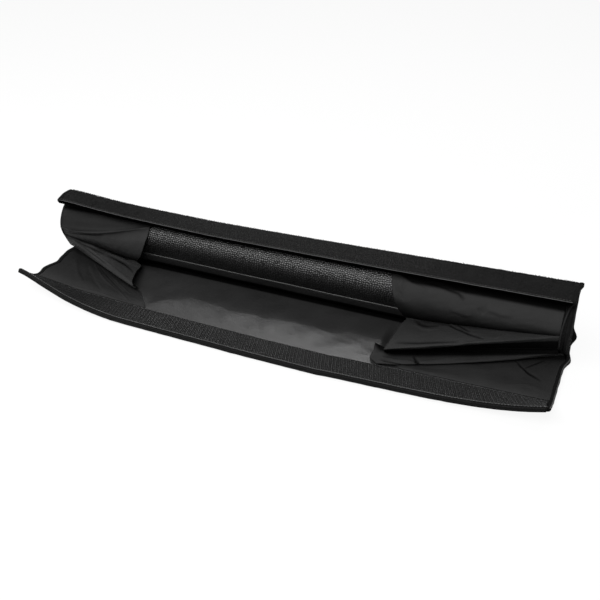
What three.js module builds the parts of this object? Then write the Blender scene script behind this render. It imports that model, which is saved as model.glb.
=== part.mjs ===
// Roof rack pad: a wrap-around padded sleeve for a wide roof bar, lying open on the floor.
// One woven cover lies flat as a flap, turns up behind a foam bolster and folds forward over it
// as a roof. A hook strip on the flap and a loop strip on the roof close the sleeve round the bar,
// and a thin nylon sleeve at each end, sewn in on three sides, lies folded in pleats.
//
// Frame: +X along the bar, +Y to the back, +Z up. The floor is z = 0 and the crease between the
// flap and the bolster is y = 0. The origin is mid-length on the cover's flat underside.
import * as THREE from 'three';

// Driving dimensions, in millimetres.
const LENGTH = 700; // along the bar, over both end tapes
const FLAP_REACH = 105; // crease to the hook strip, along the flap
const HOOK_WIDTH = 38; // hook strip, across
const LOOP_WIDTH = 32.5; // loop strip, across
const FRONT_BINDING_WIDTH = 4.8; // folded binding on the flap's front edge
const FRONT_BINDING_HEIGHT = 6;
const ROOF_BINDING_WIDTH = 2.4; // folded binding on the roof's free edge
const ROOF_BINDING_HEIGHT = 3.8;
const END_TAPE_WIDTH = 6; // tape over each end of the cover, along the bar
const END_TAPE_HEIGHT = 3.6;
const BOLSTER_HEIGHT = 77.5; // floor to the top of the grip face
const BOLSTER_BULGE = 21.3; // how far the face stands forward of the crease
const BULGE_HEIGHT = 49; // height of the face's foremost line
const SEAM_HEIGHT = 29; // height of the seam between the grip panel and the lower facing
const BACK_Y = 17; // outside of the cover behind the bolster
const BACK_CORNER_RADIUS = 7; // where the cover turns up behind the bolster
const RIDGE_RADIUS = 4.2; // where it folds forward as the roof
const END_PANEL_DEPTH = 11; // rounded fabric end of the bolster, along the bar
const LEFT_SLEEVE_LENGTH = 181; // end of the pad to the furthest point of the sleeve
const RIGHT_SLEEVE_LENGTH = 214;

// Cloth and foam, in millimetres.
const COVER_THICKNESS = 1.2;
const LINING_THICKNESS = 0.6;
const HOOK_THICKNESS = 1.8;
const LOOP_THICKNESS = 1.8;
const FACING_THICKNESS = 1;
const ROOF_FACING_THICKNESS = 0.6;
const SLEEVE_THICKNESS = 0.6;
const HEM_ROLL = 0.7; // how far the turned edge of the grip panel stands out at its seam
const GAP = 0.3; // between pieces that touch

// How the cloth has settled: the roof rises to the right, the flap's two ends curl up.
const RIDGE_CLEARANCE = 6.5; // bolster's top to the ridge at its lowest, left of the middle
const RIDGE_RISE_LEFT = 4; // and how much higher it is at the left end
const RISE_LEFT_SPAN = 70; // length over which that fades out
const RIDGE_RISE_RIGHT = 16; // and at the right end
const RISE_RIGHT_START = -120; // where the ridge starts to climb to the right
const RISE_RIGHT_POWER = 1.15;
const ROOF_TILT_LEFT = THREE.MathUtils.degToRad(1);
const ROOF_TILT_RIGHT = THREE.MathUtils.degToRad(17);
const ROOF_CROWN = 1.5; // the roof arches this far above a flat sheet
const ROOF_CROWN_END = 2.5; // and this much more at the left end
const CROWN_SPAN = 60; // length over which that fades out
const FLAP_FLAT = 92; // flat part of the flap, from the crease
const BEND_LENGTH = 25; // along the cloth, where the flap turns up to the stiffer hook strip
const CURL_MIDDLE = THREE.MathUtils.degToRad(2.5);
const CURL_LEFT = THREE.MathUtils.degToRad(36);
const CURL_RIGHT = THREE.MathUtils.degToRad(26);
const CURL_SPAN_LEFT = 190; // length over which the left end curls up
const CURL_SPAN_RIGHT = 260;
const CURL_POWER_LEFT = 1.4; // above 1, the curl gathers towards the corner
const CURL_POWER_RIGHT = 4;
const PULL_LEFT = 7; // how far the flap's cloth is gathered back towards its left end
const PULL_CORNER = 9; // and more in the last stretch before the corner
const PULL_CORNER_SPAN = 90;
const PULL_CORNER_POWER = 1.5;
const PULL_RIGHT = 11;
const PULL_RIGHT_POWER = 0.7;

const HALF = LENGTH / 2;
const TAPE_INSIDE = HALF - END_TAPE_WIDTH;
const CLOTH_END = TAPE_INSIDE - GAP;
const PANEL_INSIDE = HALF - END_PANEL_DEPTH;
const BOLSTER_END = PANEL_INSIDE - GAP;
const HOOK_START = FLAP_REACH + GAP;
const FLAP_END = FLAP_REACH + GAP + HOOK_WIDTH;
const LINING_TOP = COVER_THICKNESS + GAP + LINING_THICKNESS;
const ROOF_REACH = RIDGE_RADIUS + LOOP_WIDTH;
const LOOP_LAYER = LOOP_THICKNESS + GAP;
const RIDGE_HEIGHT = BOLSTER_HEIGHT + RIDGE_CLEARANCE;

const clamp = THREE.MathUtils.clamp;
const lerp = THREE.MathUtils.lerp;
const smooth = (t) => THREE.MathUtils.smoothstep(t, 0, 1);

/** Evenly spaced values from a to b, both included. */
function spread(a, b, steps) {
  return Array.from({ length: steps + 1 }, (_, i) => lerp(a, b, i / steps));
}

// The settled shape, as functions of the place along the bar.
const ridgeHeight = (x) =>
  RIDGE_HEIGHT +
  RIDGE_RISE_LEFT * Math.exp(-(((x + HALF) / RISE_LEFT_SPAN) ** 2)) +
  RIDGE_RISE_RIGHT *
    clamp((x - RISE_RIGHT_START) / (HALF - RISE_RIGHT_START), 0, 1) ** RISE_RIGHT_POWER;
const roofTilt = (x) => lerp(ROOF_TILT_LEFT, ROOF_TILT_RIGHT, (x + HALF) / LENGTH);
const roofCrown = (x) => ROOF_CROWN + ROOF_CROWN_END * Math.exp(-(((x + HALF) / CROWN_SPAN) ** 2));
const nearLeft = (x, span) => clamp((span - HALF - x) / span, 0, 1);
const nearRight = (x, span) => clamp((x - HALF + span) / span, 0, 1);
const curl = (x) =>
  CURL_MIDDLE +
  (CURL_LEFT - CURL_MIDDLE) * smooth(nearLeft(x, CURL_SPAN_LEFT)) ** CURL_POWER_LEFT +
  (CURL_RIGHT - CURL_MIDDLE) * nearRight(x, CURL_SPAN_RIGHT) ** CURL_POWER_RIGHT;
const pull = (x) =>
  PULL_LEFT * nearLeft(x, HALF) +
  PULL_CORNER * nearLeft(x, PULL_CORNER_SPAN) ** PULL_CORNER_POWER +
  PULL_RIGHT * nearRight(x, CURL_SPAN_RIGHT) ** PULL_RIGHT_POWER;

/** A point [y, z] on the flap: w along the cloth from the crease, h above its underside. */
function flapPoint(x, w, h = 0) {
  const curlHere = curl(x);
  const bent = clamp(w - FLAP_FLAT, 0, BEND_LENGTH);
  const straight = Math.max(w - FLAP_FLAT - BEND_LENGTH, 0);
  const angle = (curlHere * bent) / BEND_LENGTH;
  const radius = BEND_LENGTH / curlHere;
  const gathered = (pull(x) * Math.min(w, FLAP_REACH)) / FLAP_REACH;
  const y = gathered - Math.min(w, FLAP_FLAT) - radius * Math.sin(angle) - straight * Math.cos(angle);
  const z = radius * (1 - Math.cos(angle)) + straight * Math.sin(angle);
  return [y + h * Math.sin(angle), z + h * Math.cos(angle)];
}

/** A point [y, z] on the roof: w forward from the ridge, h above the top of the loop strip. */
function roofPoint(x, w, h = 0) {
  const t = w / (ROOF_REACH + ROOF_BINDING_WIDTH);
  const tilt = roofTilt(x);
  const arch = roofCrown(x) * 4 * t * (1 - t);
  const [cos, sin] = [Math.cos(tilt), Math.sin(tilt)];
  return [BACK_Y - w * cos - h * sin, ridgeHeight(x) - w * sin + arch + h * cos];
}

/** Points on an arc about (cy, cz) in the section plane. */
function arcPoints(cy, cz, radius, from, to, steps) {
  return spread(from, to, steps).map((a) => [cy + radius * Math.cos(a), cz + radius * Math.sin(a)]);
}

/** Moves an open run of points sideways by d, to its left as it runs. */
function offsetRun(run, d) {
  return run.map((p, i) => {
    const a = run[Math.max(i - 1, 0)];
    const b = run[Math.min(i + 1, run.length - 1)];
    const length = Math.hypot(b[0] - a[0], b[1] - a[1]);
    return [p[0] - (d * (b[1] - a[1])) / length, p[1] + (d * (b[0] - a[0])) / length];
  });
}

/** A strip of cloth in section: the run moved by d0 and by d1, closed into a loop. */
const band = (run, d0, d1) => [...offsetRun(run, d0), ...offsetRun(run, d1).reverse()];

// The front of the bolster, from the crease to the top: two cubic curves that share an upright
// tangent at the foremost line. The handles are shares of the bulge and of each curve's height.
const FACE_FOOT = [3.5, LINING_TOP + GAP];
const FACE_TOP = [4, BOLSTER_HEIGHT];
const FACE_FRONT = [-BOLSTER_BULGE, BULGE_HEIGHT];
const FOOT_HANDLE = [0.4, 0.36];
const FRONT_HANDLE_BELOW = 0.68;
const FRONT_HANDLE_ABOVE = 0.36;
const TOP_HANDLE = 0.43;
const FACE_SAMPLES = 40;
const vec = ([y, z]) => new THREE.Vector2(y, z);
const LOWER_FACE = new THREE.CubicBezierCurve(
  vec(FACE_FOOT),
  new THREE.Vector2(-FOOT_HANDLE[0] * BOLSTER_BULGE, lerp(FACE_FOOT[1], BULGE_HEIGHT, FOOT_HANDLE[1])),
  new THREE.Vector2(-BOLSTER_BULGE, lerp(FACE_FOOT[1], BULGE_HEIGHT, FRONT_HANDLE_BELOW)),
  vec(FACE_FRONT),
);
const UPPER_FACE = new THREE.CubicBezierCurve(
  vec(FACE_FRONT),
  new THREE.Vector2(-BOLSTER_BULGE, lerp(BULGE_HEIGHT, BOLSTER_HEIGHT, FRONT_HANDLE_ABOVE)),
  new THREE.Vector2(-TOP_HANDLE * BOLSTER_BULGE, BOLSTER_HEIGHT),
  vec(FACE_TOP),
);
const faceSamples = [...LOWER_FACE.getPoints(FACE_SAMPLES), ...UPPER_FACE.getPoints(FACE_SAMPLES).slice(1)];

/** How far along the face, 0 at the foot to 1 at the top, a height lies. */
function faceParameter(height) {
  const i = faceSamples.findIndex((p) => p.y >= height);
  if (i <= 0) return i < 0 ? 1 : 0;
  const t = (height - faceSamples[i - 1].y) / (faceSamples[i].y - faceSamples[i - 1].y);
  return (i - 1 + t) / (faceSamples.length - 1);
}

/** A point [y, z] of the face, moved out from it by h. */
function facePoint(t, h = 0) {
  const upper = t > 0.5;
  const curve = upper ? UPPER_FACE : LOWER_FACE;
  const s = clamp(upper ? 2 * t - 1 : 2 * t, 0, 1);
  const p = curve.getPoint(s);
  const tangent = curve.getTangent(s);
  return [p.x - h * tangent.y, p.y + h * tangent.x];
}

/** The face between two parameters, as a run of points from low to high. */
const faceRun = (t0, t1, steps) => spread(t0, t1, steps).map((t) => facePoint(t));

/** Builds a geometry from points and faces, turned so that its faces point out. */
function solid(points, faces) {
  let volume = 0;
  for (const [a, b, c] of faces) {
    const cross = new THREE.Vector3().crossVectors(points[b], points[c]);
    volume += points[a].dot(cross);
  }
  const index = faces.flatMap(([a, b, c]) => (volume > 0 ? [a, b, c] : [a, c, b]));
  const geometry = new THREE.BufferGeometry().setFromPoints(points);
  geometry.setIndex(index);
  return geometry;
}

/** A closed body through one section loop per station along X, all with the same count. */
function loft(stations, sectionAt) {
  const loops = stations.map((x) => sectionAt(x));
  const count = loops[0].length;
  const points = loops.flatMap((loop, i) => loop.map(([y, z]) => new THREE.Vector3(stations[i], y, z)));
  const faces = [];
  for (let i = 0; i < stations.length - 1; i++) {
    for (let j = 0; j < count; j++) {
      const k = (j + 1) % count;
      const [a, b, c, d] = [i * count + j, i * count + k, (i + 1) * count + k, (i + 1) * count + j];
      faces.push([a, b, c], [a, c, d]);
    }
  }
  const last = (stations.length - 1) * count;
  const cap = (loop, start, flip) => {
    const triangles = THREE.ShapeUtils.triangulateShape(loop.map(vec), []);
    for (const [a, b, c] of triangles) {
      faces.push(flip ? [start + a, start + c, start + b] : [start + a, start + b, start + c]);
    }
  };
  const turn = THREE.ShapeUtils.area(loops[0].map(vec)) > 0;
  cap(loops[0], 0, turn);
  cap(loops[loops.length - 1], last, !turn);
  return solid(points, faces);
}

/** A sheet of even thickness about a grid of points, closed at its four edges. */
function sheet(grid, thickness) {
  const rows = grid.length;
  const columns = grid[0].length;
  const normalAt = (i, j) => {
    const along = new THREE.Vector3().subVectors(grid[Math.min(i + 1, rows - 1)][j], grid[Math.max(i - 1, 0)][j]);
    const across = new THREE.Vector3().subVectors(grid[i][Math.min(j + 1, columns - 1)], grid[i][Math.max(j - 1, 0)]);
    return along.cross(across).normalize();
  };
  const points = [];
  for (const side of [0.5, -0.5]) {
    for (let i = 0; i < rows; i++) {
      for (let j = 0; j < columns; j++) {
        points.push(grid[i][j].clone().addScaledVector(normalAt(i, j), side * thickness));
      }
    }
  }
  const at = (side, i, j) => side * rows * columns + i * columns + j;
  const faces = [];
  for (let i = 0; i < rows - 1; i++) {
    for (let j = 0; j < columns - 1; j++) {
      faces.push([at(0, i, j), at(0, i + 1, j), at(0, i + 1, j + 1)], [at(0, i, j), at(0, i + 1, j + 1), at(0, i, j + 1)]);
      faces.push([at(1, i, j), at(1, i + 1, j + 1), at(1, i + 1, j)], [at(1, i, j), at(1, i, j + 1), at(1, i + 1, j + 1)]);
    }
  }
  const wall = (i0, j0, i1, j1) => {
    faces.push([at(0, i0, j0), at(0, i1, j1), at(1, i1, j1)], [at(0, i0, j0), at(1, i1, j1), at(1, i0, j0)]);
  };
  for (let i = 0; i < rows - 1; i++) {
    wall(i + 1, 0, i, 0);
    wall(i, columns - 1, i + 1, columns - 1);
  }
  for (let j = 0; j < columns - 1; j++) {
    wall(0, j, 0, j + 1);
    wall(rows - 1, j + 1, rows - 1, j);
  }
  return solid(points, faces);
}

// Cover and the cloth on it.

const liningBreaks = [...spread(0, FLAP_FLAT, 4), ...spread(FLAP_FLAT, FLAP_REACH, 3).slice(1)];
const hookBreaks = spread(HOOK_START, FLAP_END, 4);
const roofBreaks = spread(RIDGE_RADIUS, ROOF_REACH, 6);

/** A line round the cover in section, h inside its outer side, from front edge to roof edge. */
function coverRun(x, h) {
  const flap = [...liningBreaks, ...hookBreaks].reverse().map((w) => flapPoint(x, w, h));
  const cornerRadius = BACK_CORNER_RADIUS - h;
  const corner = arcPoints(BACK_Y - BACK_CORNER_RADIUS, BACK_CORNER_RADIUS, cornerRadius, -Math.PI / 2, 0, 4);
  const tilt = roofTilt(x);
  const foldHeight = ridgeHeight(x) - LOOP_LAYER - (RIDGE_RADIUS * (1 + Math.sin(tilt))) / Math.cos(tilt);
  const back = spread(BACK_CORNER_RADIUS, foldHeight, 3)
    .slice(1, -1)
    .map((z) => [BACK_Y - h, z]);
  const fold = arcPoints(BACK_Y - RIDGE_RADIUS, foldHeight, RIDGE_RADIUS - h, 0, Math.PI / 2 + tilt, 4);
  const roof = roofBreaks.slice(1).map((w) => roofPoint(x, w, -LOOP_LAYER - h));
  return [...flap, ...corner, ...back, ...fold, ...roof];
}

/** The cover's section between two depths, closed into a loop. */
const coverLoop = (x, h0, h1) => [...coverRun(x, h0), ...coverRun(x, h1).reverse()];

const clothStations = [
  ...spread(-CLOTH_END, -HALF + CURL_SPAN_LEFT, 7),
  ...spread(-HALF + CURL_SPAN_LEFT, HALF - CURL_SPAN_RIGHT, 3).slice(1),
  ...spread(HALF - CURL_SPAN_RIGHT, CLOTH_END, 7).slice(1),
];

const coverSolid = () => loft(clothStations, (x) => coverLoop(x, 0, COVER_THICKNESS));

/** A layer of cloth: the given breaks across it, between two heights, through a point function. */
const layerSolid = (pointAt, breaks, h0, h1) =>
  loft(clothStations, (x) => [
    ...breaks.map((w) => pointAt(x, w, h0)),
    ...[...breaks].reverse().map((w) => pointAt(x, w, h1)),
  ]);

const liningSolid = () => layerSolid(flapPoint, liningBreaks, COVER_THICKNESS + GAP, LINING_TOP);
const hookSolid = () =>
  layerSolid(flapPoint, hookBreaks, COVER_THICKNESS + GAP, COVER_THICKNESS + GAP + HOOK_THICKNESS);
const loopSolid = () => layerSolid(roofPoint, roofBreaks, -LOOP_THICKNESS, 0);
const roofFacingSolid = () => {
  const top = -LOOP_LAYER - COVER_THICKNESS - GAP;
  return layerSolid(roofPoint, roofBreaks.slice(1), top - ROOF_FACING_THICKNESS, top);
};

const BINDING_SIDES = 10;

/** A rounded bar of cloth folded over an edge: an ellipse of w and h, through a point function. */
function bindingSolid(stations, pointAt, w0, width, h0, height) {
  const angles = spread(0, 2 * Math.PI, BINDING_SIDES).slice(1);
  return loft(stations, (x) =>
    angles.map((a) => pointAt(x, w0 + (width * (1 + Math.cos(a))) / 2, h0 + (height * (1 + Math.sin(a))) / 2)),
  );
}

const frontBindingSolid = () =>
  bindingSolid(clothStations, flapPoint, FLAP_END + GAP, FRONT_BINDING_WIDTH, 0, FRONT_BINDING_HEIGHT);
const roofBindingSolid = () =>
  bindingSolid(
    clothStations,
    roofPoint,
    ROOF_REACH + GAP,
    ROOF_BINDING_WIDTH,
    -ROOF_BINDING_HEIGHT,
    ROOF_BINDING_HEIGHT,
  );

const TAPE_EDGE_ROUND = 1; // how far in from its long edges a tape has its full height
const TAPE_EDGE_SHARE = 0.6; // and the share of it that it has at those edges

/** The tape over one end of the cover: the cover's own run, thicker, with rounded long edges. */
function endTapeSolid(side) {
  const steps = [
    [TAPE_INSIDE, TAPE_EDGE_SHARE],
    [TAPE_INSIDE + TAPE_EDGE_ROUND, 1],
    [HALF - TAPE_EDGE_ROUND, 1],
    [HALF, TAPE_EDGE_SHARE],
  ];
  const stations = steps.map(([x]) => side * x);
  return loft(stations, (x) => coverLoop(x, 0, END_TAPE_HEIGHT * steps[stations.indexOf(x)][1]));
}

// Bolster.

const FACE_STEPS = 16;
const ARC_STEPS = 4;
const SEAM_PARAMETER = faceParameter(SEAM_HEIGHT);
const SEAM_HALF_GAP = GAP / 2 / BOLSTER_HEIGHT;

/** A section of the bolster: the face, and the inside of the cover's back, each set in. */
function bolsterLoop(faceInset, backInset) {
  const face = offsetRun(faceRun(0, 1, FACE_STEPS), -faceInset);
  const back = BACK_Y - COVER_THICKNESS - GAP - backInset;
  const top = face[face.length - 1][1];
  const foot = FACE_FOOT[1] + backInset;
  const round = BACK_CORNER_RADIUS - COVER_THICKNESS - GAP;
  const shoulder = arcPoints(back - round, top - round, round, Math.PI / 2, 0, ARC_STEPS);
  const heel = arcPoints(back - round, foot + round, round, 0, -Math.PI / 2, ARC_STEPS);
  return [...face.slice(1), ...shoulder, ...heel];
}

const bolsterStations = [-BOLSTER_END, BOLSTER_END];

const foamSolid = () => loft(bolsterStations, () => bolsterLoop(FACING_THICKNESS + GAP, 0));

/** The pebbled panel on the bolster's front, with its turned lower edge standing out. */
const gripSolid = () => {
  const run = faceRun(SEAM_PARAMETER + SEAM_HALF_GAP, 1, FACE_STEPS);
  const [hem] = offsetRun(run, HEM_ROLL);
  const section = [hem, ...run.slice(1), ...offsetRun(run, -FACING_THICKNESS).reverse()];
  return loft(bolsterStations, () => section);
};

const lowerFacingSolid = () => {
  const run = faceRun(0, SEAM_PARAMETER - SEAM_HALF_GAP, FACE_STEPS / 2);
  return loft(bolsterStations, () => band(run, -FACING_THICKNESS, 0));
};

const PANEL_SHOULDER = 1.8; // where the end starts to round off, in from the pad's end
const PANEL_ROUNDING = 3; // how far the face is drawn in at the very end
const PANEL_BACK_ROUNDING = 1; // and the back, foot and top

/** The rounded fabric end of the bolster: the face's own section, drawn in towards the end. */
function endPanelSolid(side) {
  const clearance = END_TAPE_HEIGHT - COVER_THICKNESS;
  const steps = [
    [PANEL_INSIDE, 0, 0],
    [TAPE_INSIDE - GAP, 0, clearance],
    [HALF - PANEL_SHOULDER, PANEL_ROUNDING / 4, clearance],
    [HALF, PANEL_ROUNDING, clearance + PANEL_BACK_ROUNDING],
  ];
  const stations = steps.map(([x]) => side * x);
  return loft(stations, (x) => {
    const [, faceInset, backInset] = steps[stations.indexOf(x)];
    return bolsterLoop(faceInset, backInset);
  });
}

// End sleeves: thin nylon, sewn to the bolster's end, to the tape and to the hook strip's edge.
// Each row of a sleeve is a function of u, from its sewn end (0) to its free edge (1), and the
// rows follow one another round the sleeve from under the roof to the hook strip. Heights are
// shares of the bolster's height, and distances forward are shares of the flap's reach.

const SLEEVE_SLACK = 0.3; // beyond the gap, between a sleeve and what it lies on
const SLEEVE_LIFT = GAP + SLEEVE_THICKNESS / 2 + SLEEVE_SLACK;
const FLAP_LIFT = LINING_TOP + SLEEVE_LIFT;
const SLEEVE_SEAM = (FLAP_REACH - SLEEVE_THICKNESS) / FLAP_REACH;

/** A point on the face, lifted off it. */
function faceSpot(x, height, lift) {
  const [y, z] = facePoint(faceParameter(height * BOLSTER_HEIGHT), SLEEVE_LIFT + lift);
  return new THREE.Vector3(x, y, z);
}

/** A point on the flap, lifted off it. */
function flapSpot(x, forward, lift) {
  const [y, z] = flapPoint(x, forward * FLAP_REACH, FLAP_LIFT + lift);
  return new THREE.Vector3(x, y, z);
}

/** A point of a fold, clear of the face and the flap. */
const airSpot = (x, forward, up) => new THREE.Vector3(x, -forward * FLAP_REACH, FLAP_LIFT + up * BOLSTER_HEIGHT);

const bump = (u) => 4 * u * (1 - u);

/** A row that follows the face between two spots given as [x, height, lift], and may sag. */
const alongFace = ([x0, h0, l0], [x1, h1, l1], sag = 0) => (u) =>
  faceSpot(lerp(x0, x1, u), lerp(h0, h1, u) - sag * bump(u), lerp(l0, l1, u));

/** A row that follows the flap between two spots given as [x, forward], and may rise. */
const alongFlap = ([x0, w0], [x1, w1], rise = 0) => (u) =>
  flapSpot(lerp(x0, x1, u), lerp(w0, w1, u), rise * bump(u));

/** A straight row between two points, moved forward and up in its middle. */
const across = (end, free, forward = 0, up = 0) => (u) =>
  end.clone().lerp(free, u).add(new THREE.Vector3(0, -forward * bump(u), up * bump(u)));

const SLEEVE_STEPS = 10; // from the sewn end to the free edge

const sleeveSolid = (rows) =>
  sheet(
    spread(0, 1, SLEEVE_STEPS).map((u) => rows.map((row) => row(u))),
    SLEEVE_THICKNESS,
  );

const LEFT_SEWN_IN = 2; // how far in from the pad's end the left sleeve is sewn

/** The left sleeve: drawn down over the face, then one pleat forward over its lower layer. */
const leftSleeveSolid = () => {
  const x = (share) => share * LEFT_SLEEVE_LENGTH - HALF;
  const end = LEFT_SEWN_IN - HALF;
  const tapeEnd = -CLOTH_END + GAP;
  const hug = (height, lift) => faceSpot(end, height, lift);
  const rows = [
    alongFace([end, 0.98, 0], [x(0.796), 0.948, 0]),
    alongFace([end, 0.88, 0.6], [x(0.796), 0.937, 0.2]),
    alongFace([end, 0.75, 0.8], [x(0.795), 0.924, 0.4], 0.026),
    alongFace([end, 0.66, 0.8], [x(0.793), 0.908, 1], 0.045),
    alongFace([end, 0.62, 2.2], [x(0.79), 0.89, 2.6], 0.052),
    alongFace([end, 0.58, 0.8], [x(0.787), 0.826, 1], 0.052),
    alongFace([end, 0.54, 0.3], [x(0.768), 0.645, 0.6], 0.026),
    alongFace([end, 0.5, 0.2], [x(0.707), 0.387, 2.5]),
    across(hug(0.47, 0.4), airSpot(x(0.635), 0.092, 0.09)),
    across(hug(0.445, 0.4), airSpot(x(0.63), 0.086, 0.065)),
    across(hug(0.4, 1), airSpot(x(0.663), 0.162, 0.088)),
    across(hug(0.335, 2), airSpot(x(0.724), 0.381, 0.129), 2, 1),
    across(hug(0.255, 2.6), airSpot(x(0.779), 0.571, 0.134), 2, 1),
    across(hug(0.215, 3), airSpot(x(0.812), 0.686, 0.137)),
    across(hug(0.19, 3.2), airSpot(x(0.815), 0.705, 0.116)),
    across(hug(0.165, 2.8), airSpot(x(0.812), 0.69, 0.095)),
    across(airSpot(end + 2, 0.035, 0.07), airSpot(x(0.807), 0.629, 0.052)),
    across(airSpot(end + 3, 0.03, 0.036), airSpot(x(0.803), 0.598, 0.026)),
    across(airSpot(end + 4.6, 0.05, 0.012), airSpot(x(0.807), 0.61, 0.01)),
    alongFlap([tapeEnd, 0.13], [x(0.84), 0.667]),
    alongFlap([tapeEnd, 0.3], [x(0.884), 0.743], 1.5),
    alongFlap([tapeEnd, 0.53], [x(0.928), 0.838]),
    alongFlap([tapeEnd, 0.76], [x(0.967), 0.914], 1.5),
    alongFlap([tapeEnd, SLEEVE_SEAM], [x(1), SLEEVE_SEAM]),
  ];
  return sleeveSolid(rows);
};

/** The right sleeve: over the face, then two pleats forward with a deep pocket between them. */
const rightSleeveSolid = () => {
  const x = (share) => HALF - share * RIGHT_SLEEVE_LENGTH;
  const end = BOLSTER_END;
  const tapeEnd = CLOTH_END - GAP;
  const hug = (height, lift) => faceSpot(end, height, lift);
  const rows = [
    alongFace([end, 0.98, 0.2], [x(1.023), 0.948, 0]),
    alongFace([end, 0.89, 0.4], [x(1.009), 0.852, 0.8]),
    alongFace([end, 0.8, 0.5], [x(0.995), 0.735, 0.6]),
    alongFace([end, 0.72, 0.4], [x(0.981), 0.619, 1]),
    alongFace([end, 0.66, 0.3], [x(0.967), 0.49, 0.8]),
    alongFace([end, 0.62, 0.3], [x(0.949), 0.348, 1.4]),
    alongFace([end, 0.595, 0.4], [x(0.93), 0.232, 2]),
    alongFace([end, 0.58, 0.5], [x(0.921), 0.195, 1.6]),
    across(hug(0.575, 0.9), airSpot(x(0.919), 0.286, 0.181)),
    across(hug(0.57, 0.8), airSpot(x(0.921), 0.571, 0.212), 0, 1),
    across(hug(0.565, 1), airSpot(x(0.923), 0.819, 0.232)),
    across(hug(0.55, 1), airSpot(x(0.925), 0.886, 0.232)),
    across(hug(0.525, 0.6), airSpot(x(0.927), 0.876, 0.206)),
    across(hug(0.46, 0.3), airSpot(x(0.935), 0.743, 0.129), -3, 0),
    across(hug(0.35, 0.3), airSpot(x(0.949), 0.6, 0.052), -4, -2),
    across(hug(0.29, 0.5), airSpot(x(0.963), 0.571, 0.026), -4, -1),
    across(hug(0.265, 0.8), airSpot(x(0.981), 0.619, 0.06)),
    across(hug(0.24, 1.2), airSpot(x(0.995), 0.676, 0.103), 0, -2),
    across(airSpot(end + 1, 0.1, 0.14), airSpot(x(1), 0.8, 0.065), 3, 0),
    across(airSpot(end + 2, 0.08, 0.11), airSpot(x(0.995), 0.905, 0.045), 7, 0),
    across(airSpot(end + 3, 0.05, 0.085), airSpot(x(0.967), 0.98, 0.05), 9, 0),
    across(airSpot(end + 4, 0.035, 0.068), airSpot(x(0.949), 0.985, 0.04), 9, 0),
    across(airSpot(end + 4, 0.015, 0.036), airSpot(x(0.916), 0.94, 0.022), 5, 0),
    across(airSpot(end + 4, 0.015, 0.012), airSpot(x(0.897), 0.905, 0.01), 3, 0),
    alongFlap([tapeEnd, 0.11], [x(0.879), 0.924]),
    alongFlap([tapeEnd, 0.32], [x(0.86), 0.943], 1),
    alongFlap([tapeEnd, 0.55], [x(0.841), 0.962]),
    alongFlap([tapeEnd, 0.78], [x(0.827), 0.981], 1),
    alongFlap([tapeEnd, SLEEVE_SEAM], [x(0.813), SLEEVE_SEAM]),
  ];
  return sleeveSolid(rows);
};

// Pieces.

const materials = {
  wovenCover: new THREE.MeshStandardMaterial({ color: 0x141415, roughness: 0.8, metalness: 0 }),
  coatedLining: new THREE.MeshStandardMaterial({ color: 0x19191b, roughness: 0.38, metalness: 0 }),
  foam: new THREE.MeshStandardMaterial({ color: 0x242426, roughness: 0.9, metalness: 0 }),
  pebbledGrip: new THREE.MeshStandardMaterial({ color: 0x161617, roughness: 0.45, metalness: 0 }),
  smoothFacing: new THREE.MeshStandardMaterial({ color: 0x101011, roughness: 0.5, metalness: 0 }),
  hook: new THREE.MeshStandardMaterial({ color: 0x1a1a1c, roughness: 0.6, metalness: 0 }),
  loop: new THREE.MeshStandardMaterial({ color: 0x131314, roughness: 0.95, metalness: 0 }),
  tape: new THREE.MeshStandardMaterial({ color: 0x1b1b1c, roughness: 0.7, metalness: 0 }),
  nylon: new THREE.MeshStandardMaterial({ color: 0x1c1c1e, roughness: 0.5, metalness: 0 }),
};

function piece(name, geometry, material) {
  const mesh = new THREE.Mesh(geometry, material);
  mesh.name = name;
  return mesh;
}

const pad = new THREE.Group();
pad.add(
  piece('outer_cover', coverSolid(), materials.wovenCover),
  piece('flap_lining', liningSolid(), materials.coatedLining),
  piece('hook_strip', hookSolid(), materials.hook),
  piece('loop_strip', loopSolid(), materials.loop),
  piece('roof_facing', roofFacingSolid(), materials.coatedLining),
  piece('front_binding', frontBindingSolid(), materials.tape),
  piece('roof_binding', roofBindingSolid(), materials.tape),
  piece('left_end_tape', endTapeSolid(-1), materials.tape),
  piece('right_end_tape', endTapeSolid(1), materials.tape),
  piece('foam_core', foamSolid(), materials.foam),
  piece('grip_panel', gripSolid(), materials.pebbledGrip),
  piece('lower_facing', lowerFacingSolid(), materials.smoothFacing),
  piece('left_end_panel', endPanelSolid(-1), materials.wovenCover),
  piece('right_end_panel', endPanelSolid(1), materials.wovenCover),
  piece('left_end_sleeve', leftSleeveSolid(), materials.nylon),
  piece('right_end_sleeve', rightSleeveSolid(), materials.nylon),
);

export default pad;
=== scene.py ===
# %% [markdown]
# A roof rack pad lies open on a pale floor. It is a wrap-around sleeve for a wide roof bar: one
# woven cover lies flat as a flap, turns up behind a foam bolster and folds forward over it as a
# roof. A hook strip and a loop strip close it, and a thin nylon sleeve at each end lies in pleats.
# Everything is black cloth, so the lesson is about shape: on black, only folds, edges and
# different kinds of gloss tell one piece from the next.

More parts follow.
